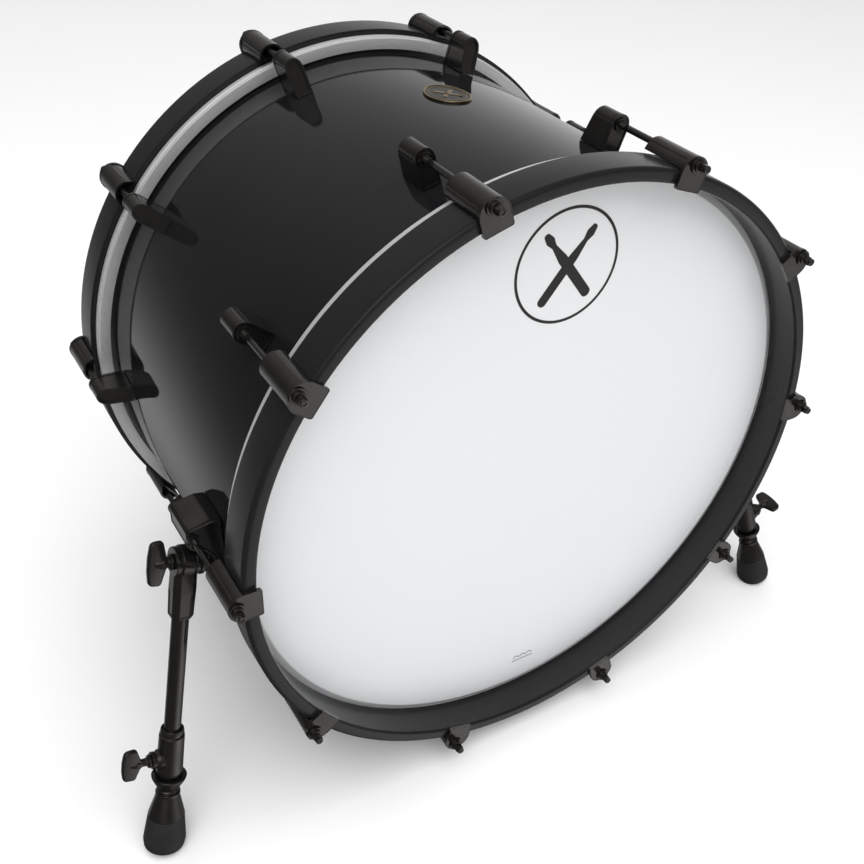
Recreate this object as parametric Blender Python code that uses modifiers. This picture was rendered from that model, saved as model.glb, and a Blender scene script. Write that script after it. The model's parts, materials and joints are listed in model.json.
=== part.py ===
"""A 22 x 14 inch bass drum on two folding spurs, as separate solid pieces at real size.

The drum is laid out along its own axis first: the axis runs along Y, the front (resonant) head faces
-Y, Z is up and y = 0 is the front edge of the front hoop. The empty `stance` then tips that layout
onto its two feet and the rear hoop, with the world's origin on the floor.
"""

import math

import bmesh
import bpy
from mathutils import Matrix, Vector

# Clearances
GAP = 0.0003
SLIDE_GAP = 0.0004
OVERLAP = 0.0010
CUT_PAST = 0.0040

# Shell, heads and hoops
SHELL_RADIUS = 0.2794
SHELL_WALL = 0.0085
SHELL_DEPTH = 0.3556
EDGE_CHAMFER = 0.0055
EDGE_ROUND = 0.0020
EDGE_LAND = 0.0010
HEAD_THICKNESS = 0.0006
HEAD_RISE = 0.0016
RING_CLEARANCE = 0.0023
RING_WALL = 0.0119
RING_HEIGHT = 0.0115
RING_LIP = 0.0064
RING_STEP = 0.0030
RING_SOFT = 0.0018
HOOP_SEAT = 0.0038
HOOP_WALL = 0.0125
HOOP_DEPTH = 0.0355
HOOP_ROUND = 0.0030
ROUND_STEPS = 72

# Tension rods, claws and lugs
LUG_ANGLES = (-162, -126, -90, -54, -18, 18, 54, 90, 126, 162)
SPUR_ANGLE = 90
ROD_STANDOFF = 0.0065
ROD_RADIUS = 0.0032
ROD_IN_LUG = 0.0110
LUG_WIDTH = 0.0184
LUG_LENGTH = 0.0330
LUG_TOP_LENGTH = 0.0250
LUG_TAPER = 0.0008
LUG_RIM = 0.0022
LUG_POCKET = 0.0016
FRONT_LUG_SETBACK = 0.0920
REAR_LUG_SETBACK = 0.0700
CLAW_WIDTH = 0.0270
CLAW_OVER_RING = 0.0090
CLAW_PLATE = 0.0035
CLAW_HOOK = 0.0025
CLAW_FOOT_WIDTH = 0.0262
CLAW_ARCH_ANGLE = 96.0
CLAW_SEAT = 0.0004
WASHER_RADIUS = 0.0075
WASHER_THICKNESS = 0.0018
KEY_SIDE = 0.0062
KEY_LENGTH = 0.0095

# Badge
BADGE_ANGLE = 3.0
BADGE_SETBACK = 0.2400
BADGE_ACROSS = 0.0420
BADGE_ALONG = 0.0500
BADGE_THICKNESS = 0.0016

# Spur brackets
BRACKET_SETBACK = 0.0880
BRACKET_LENGTH = 0.0420
BRACKET_HEIGHT = 0.0305
BRACKET_WIDTH = 0.0230
BRACKET_CHAMFER = 0.0040
BRACKET_SEAT = 0.0001
BRACKET_LIP = 0.0010
BRACKET_RIDGE_INSET = 0.0214
BRACKET_RIDGE_RISE = 0.0028
BRACKET_PLATE = 0.0110
BRACKET_PLATE_ANGLE = 94.0
BRACKET_END_ANGLE = 104.0
PIVOT_ANGLE = 95.9
PIVOT_STANDOFF = 0.0323
PIVOT_IN_BRACKET = 0.0170
EAR_LENGTH = 0.0165
EAR_RIM = 0.0015
PIVOT_BOLT_RADIUS = 0.0040
PIVOT_BOLT_IN_EAR = 0.0095

# Spur legs: distances are down the leg from the pivot
SPUR_SPLAY = math.radians(14.0)
SPUR_RAKE = math.radians(10.9)
KNUCKLE_RADIUS = 0.0130
KNUCKLE_HALF_WIDTH = 0.0105
SOCKET_TOP = 0.0020
SOCKET_LENGTH = 0.0530
SOCKET_WIDTH = 0.0200
SOCKET_CHAMFER = 0.0045
INNER_ROD_RADIUS = 0.0052
INNER_ROD_TOP = 0.0700
TUBE_WALL = 0.0019
TUBE_INSERTION = 0.0100
COLLAR_WALL = 0.0042
COLLAR_TOP = 0.1670
COLLAR_LENGTH = 0.0495
CLAMP_BOSS_DROP = 0.0310
CLAMP_BOSS_RADIUS = 0.0080
CLAMP_BOSS_REACH = 0.0180
CLAMP_BOLT_RADIUS = 0.0030
FLANGE_RADIUS = 0.0160
FLANGE_THICKNESS = 0.0070
FLANGE_ROUND = 0.0010
NECK_RADIUS = 0.0085
NECK_LENGTH = 0.0120
NECK_FLARE = 0.0020
CONE_TOP_RADIUS = 0.0105
CONE_RADIUS = 0.0168
CONE_LENGTH = 0.0250
SPIGOT_RADIUS = 0.0100
SPIGOT_LENGTH = 0.0200
RUBBER_WALL = 0.0090
RUBBER_LENGTH = 0.0390
RUBBER_DOME = 0.0120
RUBBER_CUT = 0.0030
WING_SPAN = 0.0210
WING_STALK = 0.0040
WING_SMALL_SPAN = 0.0160
WING_SMALL_STALK = 0.0085
WING_LENGTH = 0.0160
WING_THICKNESS = 0.0052
WING_ROOT = 0.0032
WING_COLLAR_RIM = 0.0028
WING_COLLAR_LENGTH = 0.0035
WING_STALK_WALL = 0.0018
WING_STALK_END_WALL = 0.0008
WING_STALK_INSERTION = 0.0070
RIGHT_CLAMP_TURN = math.radians(105.0)

# Stance: the world's origin lies this far behind the front edge of the front hoop
ORIGIN_SETBACK = 0.2118

# What follows from the sizes above
RING_FRONT = HOOP_DEPTH + GAP
HEAD_RECESS = RING_FRONT - HEAD_RISE
HEAD_FACE = HEAD_RECESS - GAP - HEAD_THICKNESS
TOTAL_DEPTH = SHELL_DEPTH + 2 * HEAD_RECESS
RING_INNER = SHELL_RADIUS + RING_CLEARANCE
RING_RADIUS = RING_INNER + RING_WALL
HOOP_RADIUS = RING_INNER + HOOP_SEAT + HOOP_WALL
ROD_CIRCLE = HOOP_RADIUS + ROD_STANDOFF
PIVOT_SETBACK = BRACKET_SETBACK + PIVOT_IN_BRACKET
PIVOT_X = (SHELL_RADIUS + PIVOT_STANDOFF) * math.sin(math.radians(PIVOT_ANGLE))
PIVOT_Z = (SHELL_RADIUS + PIVOT_STANDOFF) * math.cos(math.radians(PIVOT_ANGLE))
TUBE_RADIUS = INNER_ROD_RADIUS + SLIDE_GAP + TUBE_WALL
COLLAR_RADIUS = TUBE_RADIUS + COLLAR_WALL
COLLAR_BOTTOM = COLLAR_TOP + COLLAR_LENGTH
CLAMP_BOSS_AT = COLLAR_TOP + CLAMP_BOSS_DROP
RUBBER_TOP = COLLAR_BOTTOM + FLANGE_THICKNESS + NECK_LENGTH + CONE_LENGTH + 2 * GAP
RUBBER_RADIUS = SPIGOT_RADIUS + GAP + RUBBER_WALL

BLACK_LACQUER = ((0.012, 0.012, 0.013), 0.05, 0.0)
BLACK_HOOP = ((0.016, 0.016, 0.017), 0.16, 0.0)
ALUMINIUM = ((0.72, 0.72, 0.73), 0.28, 1.0)
WHITE_FILM = ((0.86, 0.87, 0.88), 0.45, 0.0)
BLACK_NICKEL = ((0.10, 0.095, 0.09), 0.14, 1.0)
RUBBER = ((0.02, 0.02, 0.021), 0.65, 0.0)
BRASS = ((0.55, 0.44, 0.26), 0.3, 1.0)


def clear_scene():
    for obj in list(bpy.data.objects):
        bpy.data.objects.remove(obj, do_unlink=True)


def collection(name):
    made = bpy.data.collections.new(name)
    bpy.context.scene.collection.children.link(made)
    return made


def material(name, look):
    made = bpy.data.materials.new(name)
    made.use_nodes = True
    shader = made.node_tree.nodes["Principled BSDF"]
    colour, roughness, metallic = look
    shader.inputs["Base Color"].default_value = (*colour, 1.0)
    shader.inputs["Roughness"].default_value = roughness
    shader.inputs["Metallic"].default_value = metallic
    made.diffuse_color = (*colour, 1.0)
    return made


def add_object(name, mesh, look=None):
    """A new object of this mesh in the part's collection, with its own material."""
    obj = bpy.data.objects.new(name, mesh)
    PARTS.objects.link(obj)
    obj.parent = STANCE
    if look is not None:
        obj.data.materials.clear()
        obj.data.materials.append(material(name, look))
    return obj


def shaded(mesh, degrees=40):
    mesh.shade_smooth()
    mesh.set_sharp_from_angle(angle=math.radians(degrees))
    return mesh


def mesh_from(bm, name):
    bmesh.ops.recalc_face_normals(bm, faces=bm.faces)
    mesh = bpy.data.meshes.new(name)
    bm.to_mesh(mesh)
    bm.free()
    return mesh


def turned(name, profile, look, steps=ROUND_STEPS):
    """A piece turned about its own Z. The profile lies at +X and runs down its outer side first."""
    mesh = bpy.data.meshes.new(name)
    count = len(profile)
    closed = profile[0][0] > 0 or profile[-1][0] > 0
    edges = [(i, i + 1) for i in range(count - 1)]
    if closed:
        edges.append((count - 1, 0))
    mesh.from_pydata([(radius, 0.0, height) for radius, height in profile], edges, [])
    obj = add_object(name, mesh, look)
    screw = obj.modifiers.new("Turn", "SCREW")
    screw.steps = steps
    screw.render_steps = steps
    screw.use_merge_vertices = True
    screw.merge_threshold = 0.00001
    screw.use_smooth_shade = True
    return obj


def evaluated_mesh(obj):
    bpy.context.view_layer.update()
    graph = bpy.context.evaluated_depsgraph_get()
    return bpy.data.meshes.new_from_object(obj.evaluated_get(graph))


def outline_prism(points, low, high):
    """A flat outline in (x, z), filled and extruded along Y from low to high, as a mesh."""
    curve = bpy.data.curves.new("outline", "CURVE")
    curve.dimensions = "2D"
    curve.fill_mode = "BOTH"
    curve.extrude = (high - low) / 2
    spline = curve.splines.new("POLY")
    spline.points.add(len(points) - 1)
    for point, (x, z) in zip(spline.points, points):
        point.co = (x, z, 0.0, 1.0)
    spline.use_cyclic_u = True
    guide = bpy.data.objects.new("outline", curve)
    CUTTERS.objects.link(guide)
    mesh = evaluated_mesh(guide)
    bpy.data.objects.remove(guide, do_unlink=True)
    bm = bmesh.new()
    bm.from_mesh(mesh)
    bmesh.ops.remove_doubles(bm, verts=bm.verts, dist=0.00001)
    stand = Matrix.Translation((0.0, (low + high) / 2, 0.0)) @ Matrix.Rotation(math.pi / 2, 4, "X")
    bmesh.ops.transform(bm, matrix=stand, verts=bm.verts)
    return mesh_from(bm, "outline")


def rod_mesh(radius, start, end, segments=12, radius_end=None):
    """A cylinder or a cone between two points, as a mesh."""
    start = Vector(start)
    end = Vector(end)
    bm = bmesh.new()
    bmesh.ops.create_cone(
        bm,
        cap_ends=True,
        segments=segments,
        radius1=radius,
        radius2=radius if radius_end is None else radius_end,
        depth=(end - start).length,
    )
    turn = (end - start).to_track_quat("Z", "Y").to_matrix().to_4x4()
    bmesh.ops.transform(bm, matrix=Matrix.Translation((start + end) / 2) @ turn, verts=bm.verts)
    return mesh_from(bm, "rod")


def box_mesh(low, high):
    low = Vector(low)
    high = Vector(high)
    bm = bmesh.new()
    bmesh.ops.create_cube(bm, size=1.0)
    size = high - low
    bmesh.ops.scale(bm, vec=size, verts=bm.verts)
    bmesh.ops.translate(bm, vec=(low + high) / 2, verts=bm.verts)
    return mesh_from(bm, "box")


def combined(base, operations):
    """The base mesh after a list of (operation, mesh) Booleans, as one mesh."""
    body = bpy.data.objects.new("body", base)
    CUTTERS.objects.link(body)
    tools = []
    for operation, mesh in operations:
        tool = bpy.data.objects.new("tool", mesh)
        tool.hide_render = True
        tool.display_type = "WIRE"
        CUTTERS.objects.link(tool)
        boolean = body.modifiers.new(operation, "BOOLEAN")
        boolean.operation = operation
        boolean.solver = "EXACT"
        boolean.object = tool
        tools.append(tool)
    mesh = evaluated_mesh(body)
    for obj in (body, *tools):
        bpy.data.objects.remove(obj, do_unlink=True)
    bm = bmesh.new()
    bm.from_mesh(mesh)
    bmesh.ops.remove_doubles(bm, verts=bm.verts, dist=0.000005)
    bmesh.ops.dissolve_limit(
        bm, angle_limit=math.radians(0.5), verts=bm.verts, edges=bm.edges
    )
    return mesh_from(bm, "combined")


def cut_by_plane(mesh, point, normal):
    """Cuts off what lies on the normal's side of the plane, and closes the cut."""
    bm = bmesh.new()
    bm.from_mesh(mesh)
    everything = bm.verts[:] + bm.edges[:] + bm.faces[:]
    bmesh.ops.bisect_plane(
        bm, geom=everything, plane_co=point, plane_no=normal, clear_outer=True
    )
    bmesh.ops.holes_fill(bm, edges=[edge for edge in bm.edges if edge.is_boundary])
    return mesh_from(bm, "cut")


def mirrored(mesh):
    """The same mesh for the other side of the drum."""
    bm = bmesh.new()
    bm.from_mesh(mesh)
    bmesh.ops.scale(bm, vec=(-1.0, 1.0, 1.0), verts=bm.verts)
    bmesh.ops.reverse_faces(bm, faces=bm.faces)
    return mesh_from(bm, "mirrored")


def arc(centre_x, centre_z, radius, start, end, steps):
    """Points on an arc in (x, z), angles in degrees from +Z towards +X."""
    points = []
    for i in range(steps + 1):
        angle = math.radians(start + (end - start) * i / steps)
        points.append((centre_x + radius * math.sin(angle), centre_z + radius * math.cos(angle)))
    return points


def face_end(obj, rear):
    """Puts a piece turned about its Z on the drum's axis, with its Z towards its own head."""
    if rear:
        obj.location = (0.0, TOTAL_DEPTH, 0.0)
        obj.rotation_euler = (-math.pi / 2, 0.0, 0.0)
    else:
        obj.rotation_euler = (math.pi / 2, 0.0, 0.0)


def shell_profile():
    outer = SHELL_RADIUS
    inner = SHELL_RADIUS - SHELL_WALL
    top = -HEAD_RECESS
    bottom = -(HEAD_RECESS + SHELL_DEPTH)
    land = outer - EDGE_ROUND
    return [
        (land, top),
        (outer, top - EDGE_ROUND),
        (outer, bottom + EDGE_ROUND),
        (land, bottom),
        (land - EDGE_LAND, bottom),
        (inner, bottom + EDGE_CHAMFER),
        (inner, top - EDGE_CHAMFER),
        (land - EDGE_LAND, top),
    ]


def hoop_profile():
    outer = HOOP_RADIUS
    inner = HOOP_RADIUS - HOOP_WALL
    soft = HOOP_ROUND
    mid = soft * (1 - math.sqrt(0.5))
    return [
        (outer - soft, 0.0),
        (outer - mid, -mid),
        (outer, -soft),
        (outer, -HOOP_DEPTH),
        (inner, -HOOP_DEPTH),
        (inner, -soft),
        (inner + mid, -mid),
        (inner + soft, 0.0),
    ]


def head_profile():
    """The film: flat over the bearing edge, then down into the flesh hoop's seat."""
    top = -HEAD_FACE
    seat = -(RING_FRONT + RING_STEP)
    edge = RING_RADIUS - RING_LIP - GAP
    shoulder = SHELL_RADIUS + GAP
    thick = HEAD_THICKNESS
    return [
        (0.0, top),
        (shoulder, top),
        (edge, seat + thick + GAP),
        (edge, seat + GAP),
        (shoulder - GAP, top - thick),
        (0.0, top - thick),
    ]


def ring_profile():
    """The flesh hoop: a softened outer rim and, inside it, the seat that the film sits in."""
    outer = RING_RADIUS
    top = -RING_FRONT
    bottom = top - RING_HEIGHT
    seat = outer - RING_LIP
    return [
        (outer - RING_SOFT, top),
        (outer, top - RING_SOFT),
        (outer, bottom),
        (RING_INNER, bottom),
        (RING_INNER, top - RING_STEP),
        (seat, top - RING_STEP),
        (seat, top),
    ]


def lug_mesh(rod_height, length, top_length):
    """A lug in its own frame: Z out from the shell, the rod leaves towards -Y, y = 0 is its face."""
    half = LUG_WIDTH / 2
    outline = [(-half + LUG_TAPER, GAP), (-half, rod_height)]
    outline += arc(0.0, rod_height, half, -90, 90, 6)[1:-1]
    outline += [(half, rod_height), (half - LUG_TAPER, GAP)]
    block = outline_prism(outline, 0.0, length)
    slope = Vector((0.0, rod_height + half, length - top_length)).normalized()
    block = cut_by_plane(block, (0.0, length, GAP), slope)
    hole_end = ROD_IN_LUG + SLIDE_GAP
    cutter_start = (0, -CUT_PAST, rod_height)
    hole = rod_mesh(ROD_RADIUS + SLIDE_GAP, cutter_start, (0, hole_end, rod_height), 8)
    pocket = rod_mesh(half - LUG_RIM, cutter_start, (0, LUG_POCKET, rod_height), 12)
    return shaded(combined(block, [("DIFFERENCE", pocket), ("DIFFERENCE", hole)]))


def claw_mesh(setback):
    """A claw and its tension rod in their own frame: Z out from the axis, y = 0 at the hoop's edge."""
    half = CLAW_WIDTH / 2
    seat = HOOP_RADIUS + GAP + CLAW_SEAT
    lean = math.degrees(math.acos((seat - HOOP_RADIUS) / half))
    front = -(GAP + CLAW_PLATE)
    arch = outline_prism(
        arc(0.0, HOOP_RADIUS, half, -lean, lean, 8), -GAP, HOOP_DEPTH + CLAW_OVER_RING
    )
    foot = CLAW_FOOT_WIDTH / 2
    hook = HOOP_RADIUS - HOOP_WALL - CLAW_HOOK
    plate_arch = arc(0.0, HOOP_RADIUS, half, -CLAW_ARCH_ANGLE, CLAW_ARCH_ANGLE, 9)
    plate_outline = [(-foot, hook)] + plate_arch + [(foot, hook)]
    plate = outline_prism(plate_outline, front, -GAP)
    rod_tip = setback + ROD_IN_LUG
    rod = rod_mesh(ROD_RADIUS, (0, front - OVERLAP, ROD_CIRCLE), (0, rod_tip, ROD_CIRCLE), 8)
    washer = rod_mesh(
        WASHER_RADIUS,
        (0, front + OVERLAP, ROD_CIRCLE),
        (0, front - WASHER_THICKNESS, ROD_CIRCLE),
        12,
    )
    half_key = KEY_SIDE / 2
    head = box_mesh(
        (-half_key, front - WASHER_THICKNESS - KEY_LENGTH, ROD_CIRCLE - half_key),
        (half_key, front, ROD_CIRCLE + half_key),
    )
    steps = [("UNION", plate), ("UNION", rod), ("UNION", washer), ("UNION", head)]
    return shaded(combined(arch, steps))


def round_the_drum(obj, angle, rear, radius=0.0, setback=0.0):
    """Turns a piece about the drum's axis and faces it to its own end of the drum."""
    turn = math.radians(angle)
    obj.rotation_mode = "ZYX"
    obj.rotation_euler = (0.0, turn, math.pi if rear else 0.0)
    along = TOTAL_DEPTH - setback if rear else setback
    obj.location = (radius * math.sin(turn), along, radius * math.cos(turn))


def make_drum():
    turned("shell", shell_profile(), BLACK_LACQUER)
    bpy.data.objects["shell"].rotation_euler = (math.pi / 2, 0.0, 0.0)
    for prefix, head, rear in (("front", "front_head", False), ("rear", "batter_head", True)):
        face_end(turned(f"{prefix}_hoop", hoop_profile(), BLACK_HOOP), rear)
        face_end(turned(f"{head}_ring", ring_profile(), ALUMINIUM), rear)
        face_end(turned(head, head_profile(), WHITE_FILM), rear)


def make_lugs():
    rod_height = ROD_CIRCLE - SHELL_RADIUS
    for prefix, setback, rear in (
        ("front", FRONT_LUG_SETBACK, False),
        ("rear", REAR_LUG_SETBACK, True),
    ):
        for number, angle in enumerate(LUG_ANGLES, 1):
            if abs(angle) == SPUR_ANGLE and not rear:
                continue
            mesh = lug_mesh(rod_height, LUG_LENGTH, LUG_TOP_LENGTH)
            lug = add_object(f"{prefix}_lug_{number:02d}", mesh, BLACK_NICKEL)
            round_the_drum(lug, angle, rear, SHELL_RADIUS, setback)


def make_claws():
    for prefix, setback, rear in (
        ("front", FRONT_LUG_SETBACK, False),
        ("rear", REAR_LUG_SETBACK, True),
    ):
        for number, angle in enumerate(LUG_ANGLES, 1):
            on_spur = abs(angle) == SPUR_ANGLE and not rear
            mesh = claw_mesh(BRACKET_SETBACK if on_spur else setback)
            claw = add_object(f"{prefix}_claw_{number:02d}", mesh, BLACK_NICKEL)
            round_the_drum(claw, angle, rear)


def make_badge():
    """An oval plate seated on the shell, following its curve."""
    oval = []
    for i in range(32):
        angle = math.tau * i / 32
        oval.append((BADGE_ACROSS / 2 * math.cos(angle), BADGE_ALONG / 2 * math.sin(angle)))
    plate = outline_prism(oval, SHELL_RADIUS - 0.004, SHELL_RADIUS + 0.004)
    bm = bmesh.new()
    bm.from_mesh(plate)
    bmesh.ops.rotate(bm, matrix=Matrix.Rotation(-math.pi / 2, 3, "X"), verts=bm.verts)
    bmesh.ops.scale(bm, vec=(1.0, 1.0, -1.0), verts=bm.verts)
    bmesh.ops.reverse_faces(bm, faces=bm.faces)
    blank = mesh_from(bm, "blank")
    low = -BADGE_ALONG
    sleeve = rod_mesh(SHELL_RADIUS + GAP + BADGE_THICKNESS, (0, low, 0), (0, -low, 0), 360)
    core = rod_mesh(SHELL_RADIUS + GAP, (0, 2 * low, 0), (0, -2 * low, 0), 360)
    mesh = shaded(combined(blank, [("INTERSECT", sleeve), ("DIFFERENCE", core)]))
    badge = add_object("badge", mesh, BRASS)
    badge.rotation_euler = (0.0, math.radians(BADGE_ANGLE), 0.0)
    badge.location = (0.0, BADGE_SETBACK, 0.0)


def spur_axis():
    return Vector((math.cos(SPUR_SPLAY), 0.0, math.sin(SPUR_SPLAY)))


def bracket_mesh():
    """The casting that is both a lug and the spur's pivot, for the drum's +X side."""
    inner = SHELL_RADIUS + GAP + BRACKET_SEAT
    outer = SHELL_RADIUS + BRACKET_HEIGHT
    half = BRACKET_WIDTH / 2
    chamfer = BRACKET_CHAMFER
    top_angle = 90 - math.degrees(math.asin((half + BRACKET_LIP) / inner))
    outline = arc(0.0, 0.0, inner, top_angle, BRACKET_END_ANGLE, 6)
    outline += arc(0.0, 0.0, inner + BRACKET_PLATE, BRACKET_END_ANGLE, BRACKET_PLATE_ANGLE, 3)
    outline += [
        (outer - chamfer, -half),
        (outer, -half + chamfer),
        (outer, half - chamfer),
        (outer - 0.65 * chamfer, half - 0.1 * chamfer),
        (outer - BRACKET_RIDGE_INSET, half + BRACKET_RIDGE_RISE),
    ]
    block = outline_prism(outline, BRACKET_SETBACK, BRACKET_SETBACK + BRACKET_LENGTH)
    pivot = Vector((PIVOT_X, PIVOT_SETBACK, PIVOT_Z))
    axis = spur_axis()
    face = pivot - axis * (KNUCKLE_HALF_WIDTH + GAP)
    ear = rod_mesh(KNUCKLE_RADIUS + EAR_RIM, face - axis * EAR_LENGTH, face, 16)
    bolt_end = face - axis * (PIVOT_BOLT_IN_EAR + SLIDE_GAP)
    bolt_hole = rod_mesh(PIVOT_BOLT_RADIUS + SLIDE_GAP, bolt_end, pivot)
    rod_face = Vector((ROD_CIRCLE, BRACKET_SETBACK, 0.0))
    depth = Vector((0.0, ROD_IN_LUG + SLIDE_GAP, 0.0))
    rod_hole = rod_mesh(ROD_RADIUS + SLIDE_GAP, rod_face - depth, rod_face + depth, 8)
    steps = [("UNION", ear), ("DIFFERENCE", bolt_hole), ("DIFFERENCE", rod_hole)]
    return shaded(combined(block, steps))


def leg_mesh():
    """The knuckle, socket, tube and clamp collar, hanging down -Z from the pivot, hinge axis +X."""
    wide = KNUCKLE_HALF_WIDTH
    knuckle = rod_mesh(KNUCKLE_RADIUS, (-wide, 0, 0), (wide, 0, 0), 20)
    half = SOCKET_WIDTH / 2
    bm = bmesh.new()
    bm.from_mesh(box_mesh((GAP - half, -half, -SOCKET_LENGTH), (half - GAP, half, -SOCKET_TOP)))
    upright = [edge for edge in bm.edges if abs(edge.verts[0].co.z - edge.verts[1].co.z) > GAP]
    bmesh.ops.bevel(
        bm,
        geom=upright,
        offset=SOCKET_CHAMFER,
        segments=1,
        profile=0.5,
        affect="EDGES",
        material=-1,
    )
    socket = mesh_from(bm, "socket")
    tube_top = -SOCKET_LENGTH + TUBE_INSERTION
    tube_end = -COLLAR_TOP - TUBE_INSERTION
    tube = rod_mesh(TUBE_RADIUS, (0, 0, tube_top), (0, 0, tube_end), 16)
    collar = rod_mesh(COLLAR_RADIUS, (0, 0, -COLLAR_TOP), (0, 0, -COLLAR_BOTTOM), 20)
    boss = rod_mesh(
        CLAMP_BOSS_RADIUS, (0, 0, -CLAMP_BOSS_AT), (CLAMP_BOSS_REACH, 0, -CLAMP_BOSS_AT), 16
    )
    bore_radius = INNER_ROD_RADIUS + SLIDE_GAP
    bore_top = INNER_ROD_TOP - SLIDE_GAP
    bore = rod_mesh(bore_radius, (0, 0, -bore_top), (0, 0, -COLLAR_BOTTOM - CUT_PAST), 16)
    past = wide + CUT_PAST
    pin_hole = rod_mesh(PIVOT_BOLT_RADIUS + SLIDE_GAP, (-past, 0, 0), (past, 0, 0))
    clamp_hole = rod_mesh(
        CLAMP_BOLT_RADIUS + SLIDE_GAP,
        (INNER_ROD_RADIUS / 2, 0, -CLAMP_BOSS_AT),
        (CLAMP_BOSS_REACH + CUT_PAST, 0, -CLAMP_BOSS_AT),
    )
    steps = [("UNION", socket), ("UNION", tube), ("UNION", collar), ("UNION", boss)]
    steps += [("DIFFERENCE", bore), ("DIFFERENCE", pin_hole), ("DIFFERENCE", clamp_hole)]
    return shaded(combined(knuckle, steps))


def wing_bolt_mesh(bolt_radius, tip, shoulder, span, stalk_length):
    """A wing bolt along +X: its shank from tip to shoulder, then a collar, a stalk and two wings."""
    shank = rod_mesh(bolt_radius, (tip, 0, 0), (shoulder + OVERLAP, 0, 0))
    collar_end = (shoulder + WING_COLLAR_LENGTH, 0, 0)
    collar = rod_mesh(bolt_radius + WING_COLLAR_RIM, (shoulder, 0, 0), collar_end, 16)
    start = shoulder + stalk_length
    stalk_low = (shoulder + OVERLAP, 0, 0)
    stalk_high = (start + WING_STALK_INSERTION, 0, 0)
    stalk_end_radius = bolt_radius + WING_STALK_END_WALL
    stalk = rod_mesh(bolt_radius + WING_STALK_WALL, stalk_low, stalk_high, 12, stalk_end_radius)
    end = start + WING_LENGTH
    edge = [
        (start, WING_ROOT),
        (start + WING_LENGTH * 0.31, span * 0.66),
        (start + WING_LENGTH * 0.66, span * 0.96),
        (end - WING_LENGTH * 0.12, span),
        (end, span * 0.84),
    ]
    outline = edge + [(end + WING_LENGTH * 0.09, 0.0)] + [(x, -z) for x, z in reversed(edge)]
    wings = outline_prism(outline, -WING_THICKNESS / 2, WING_THICKNESS / 2)
    return shaded(combined(shank, [("UNION", collar), ("UNION", stalk), ("UNION", wings)]))


def spur_rod_profile():
    """The inner rod with its stop flange, neck, cone and the spigot for the rubber."""
    flange_top = -(COLLAR_BOTTOM + GAP)
    flange_low = flange_top - FLANGE_THICKNESS
    cone_top = flange_low - NECK_LENGTH
    cone_low = cone_top - CONE_LENGTH
    return [
        (0.0, -INNER_ROD_TOP),
        (INNER_ROD_RADIUS, -INNER_ROD_TOP),
        (INNER_ROD_RADIUS, flange_top),
        (FLANGE_RADIUS - FLANGE_ROUND, flange_top),
        (FLANGE_RADIUS, flange_top - FLANGE_ROUND),
        (NECK_RADIUS + NECK_FLARE, flange_low),
        (NECK_RADIUS, (flange_low + cone_top) / 2),
        (CONE_TOP_RADIUS, cone_top),
        (CONE_RADIUS, cone_low),
        (SPIGOT_RADIUS, cone_low),
        (SPIGOT_RADIUS, cone_low - SPIGOT_LENGTH),
        (0.0, cone_low - SPIGOT_LENGTH),
    ]


def rubber_profile():
    """The rubber foot, before the floor cuts it flat."""
    top = -RUBBER_TOP
    low = top - RUBBER_LENGTH
    bore = SPIGOT_RADIUS + GAP
    roof = top - SPIGOT_LENGTH - GAP
    points = [(CONE_RADIUS, top)]
    for i in range(4):
        angle = math.pi / 2 * i / 4
        reach = RUBBER_RADIUS * math.cos(angle) ** 0.7
        points.append((reach, low + RUBBER_DOME * (1 - math.sin(angle))))
    points.append((0.0, low))
    return points + [(0.0, roof), (bore, roof), (bore, top)]


def spur_matrix(side):
    """Places the spur's own frame at its pivot: Z up the leg, X (or -X) out along the hinge."""
    turn = Matrix.Rotation(-side * SPUR_SPLAY, 4, "Y") @ Matrix.Rotation(-SPUR_RAKE, 4, "X")
    return Matrix.Translation((side * PIVOT_X, PIVOT_SETBACK, PIVOT_Z)) @ turn


def floor_plane():
    """A point on the floor, its tilt and its upward normal, in the drum's own layout."""
    sole = spur_matrix(1) @ Vector((0.0, 0.0, RUBBER_CUT - RUBBER_TOP - RUBBER_LENGTH))
    heel = Vector((0.0, TOTAL_DEPTH - HOOP_ROUND, -HOOP_RADIUS))
    tilt = math.atan2(heel.z - sole.z, heel.y - sole.y)
    return heel, tilt, Vector((0.0, -math.sin(tilt), math.cos(tilt)))


def turned_mesh(profile, steps):
    obj = turned("temporary", profile, None, steps)
    mesh = evaluated_mesh(obj)
    bpy.data.objects.remove(obj, do_unlink=True)
    bm = bmesh.new()
    bm.from_mesh(mesh)
    bmesh.ops.remove_doubles(bm, verts=bm.verts, dist=0.00001)
    return mesh_from(bm, "turned")


def rubber_mesh():
    """The rubber foot for the +X side, with the flat that stands on the floor."""
    mesh = turned_mesh(rubber_profile(), 20)
    point, _, normal = floor_plane()
    inverse = spur_matrix(1).inverted()
    local_point = inverse @ point
    local_normal = inverse.to_3x3() @ -normal
    return shaded(cut_by_plane(mesh, local_point, local_normal))


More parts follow.
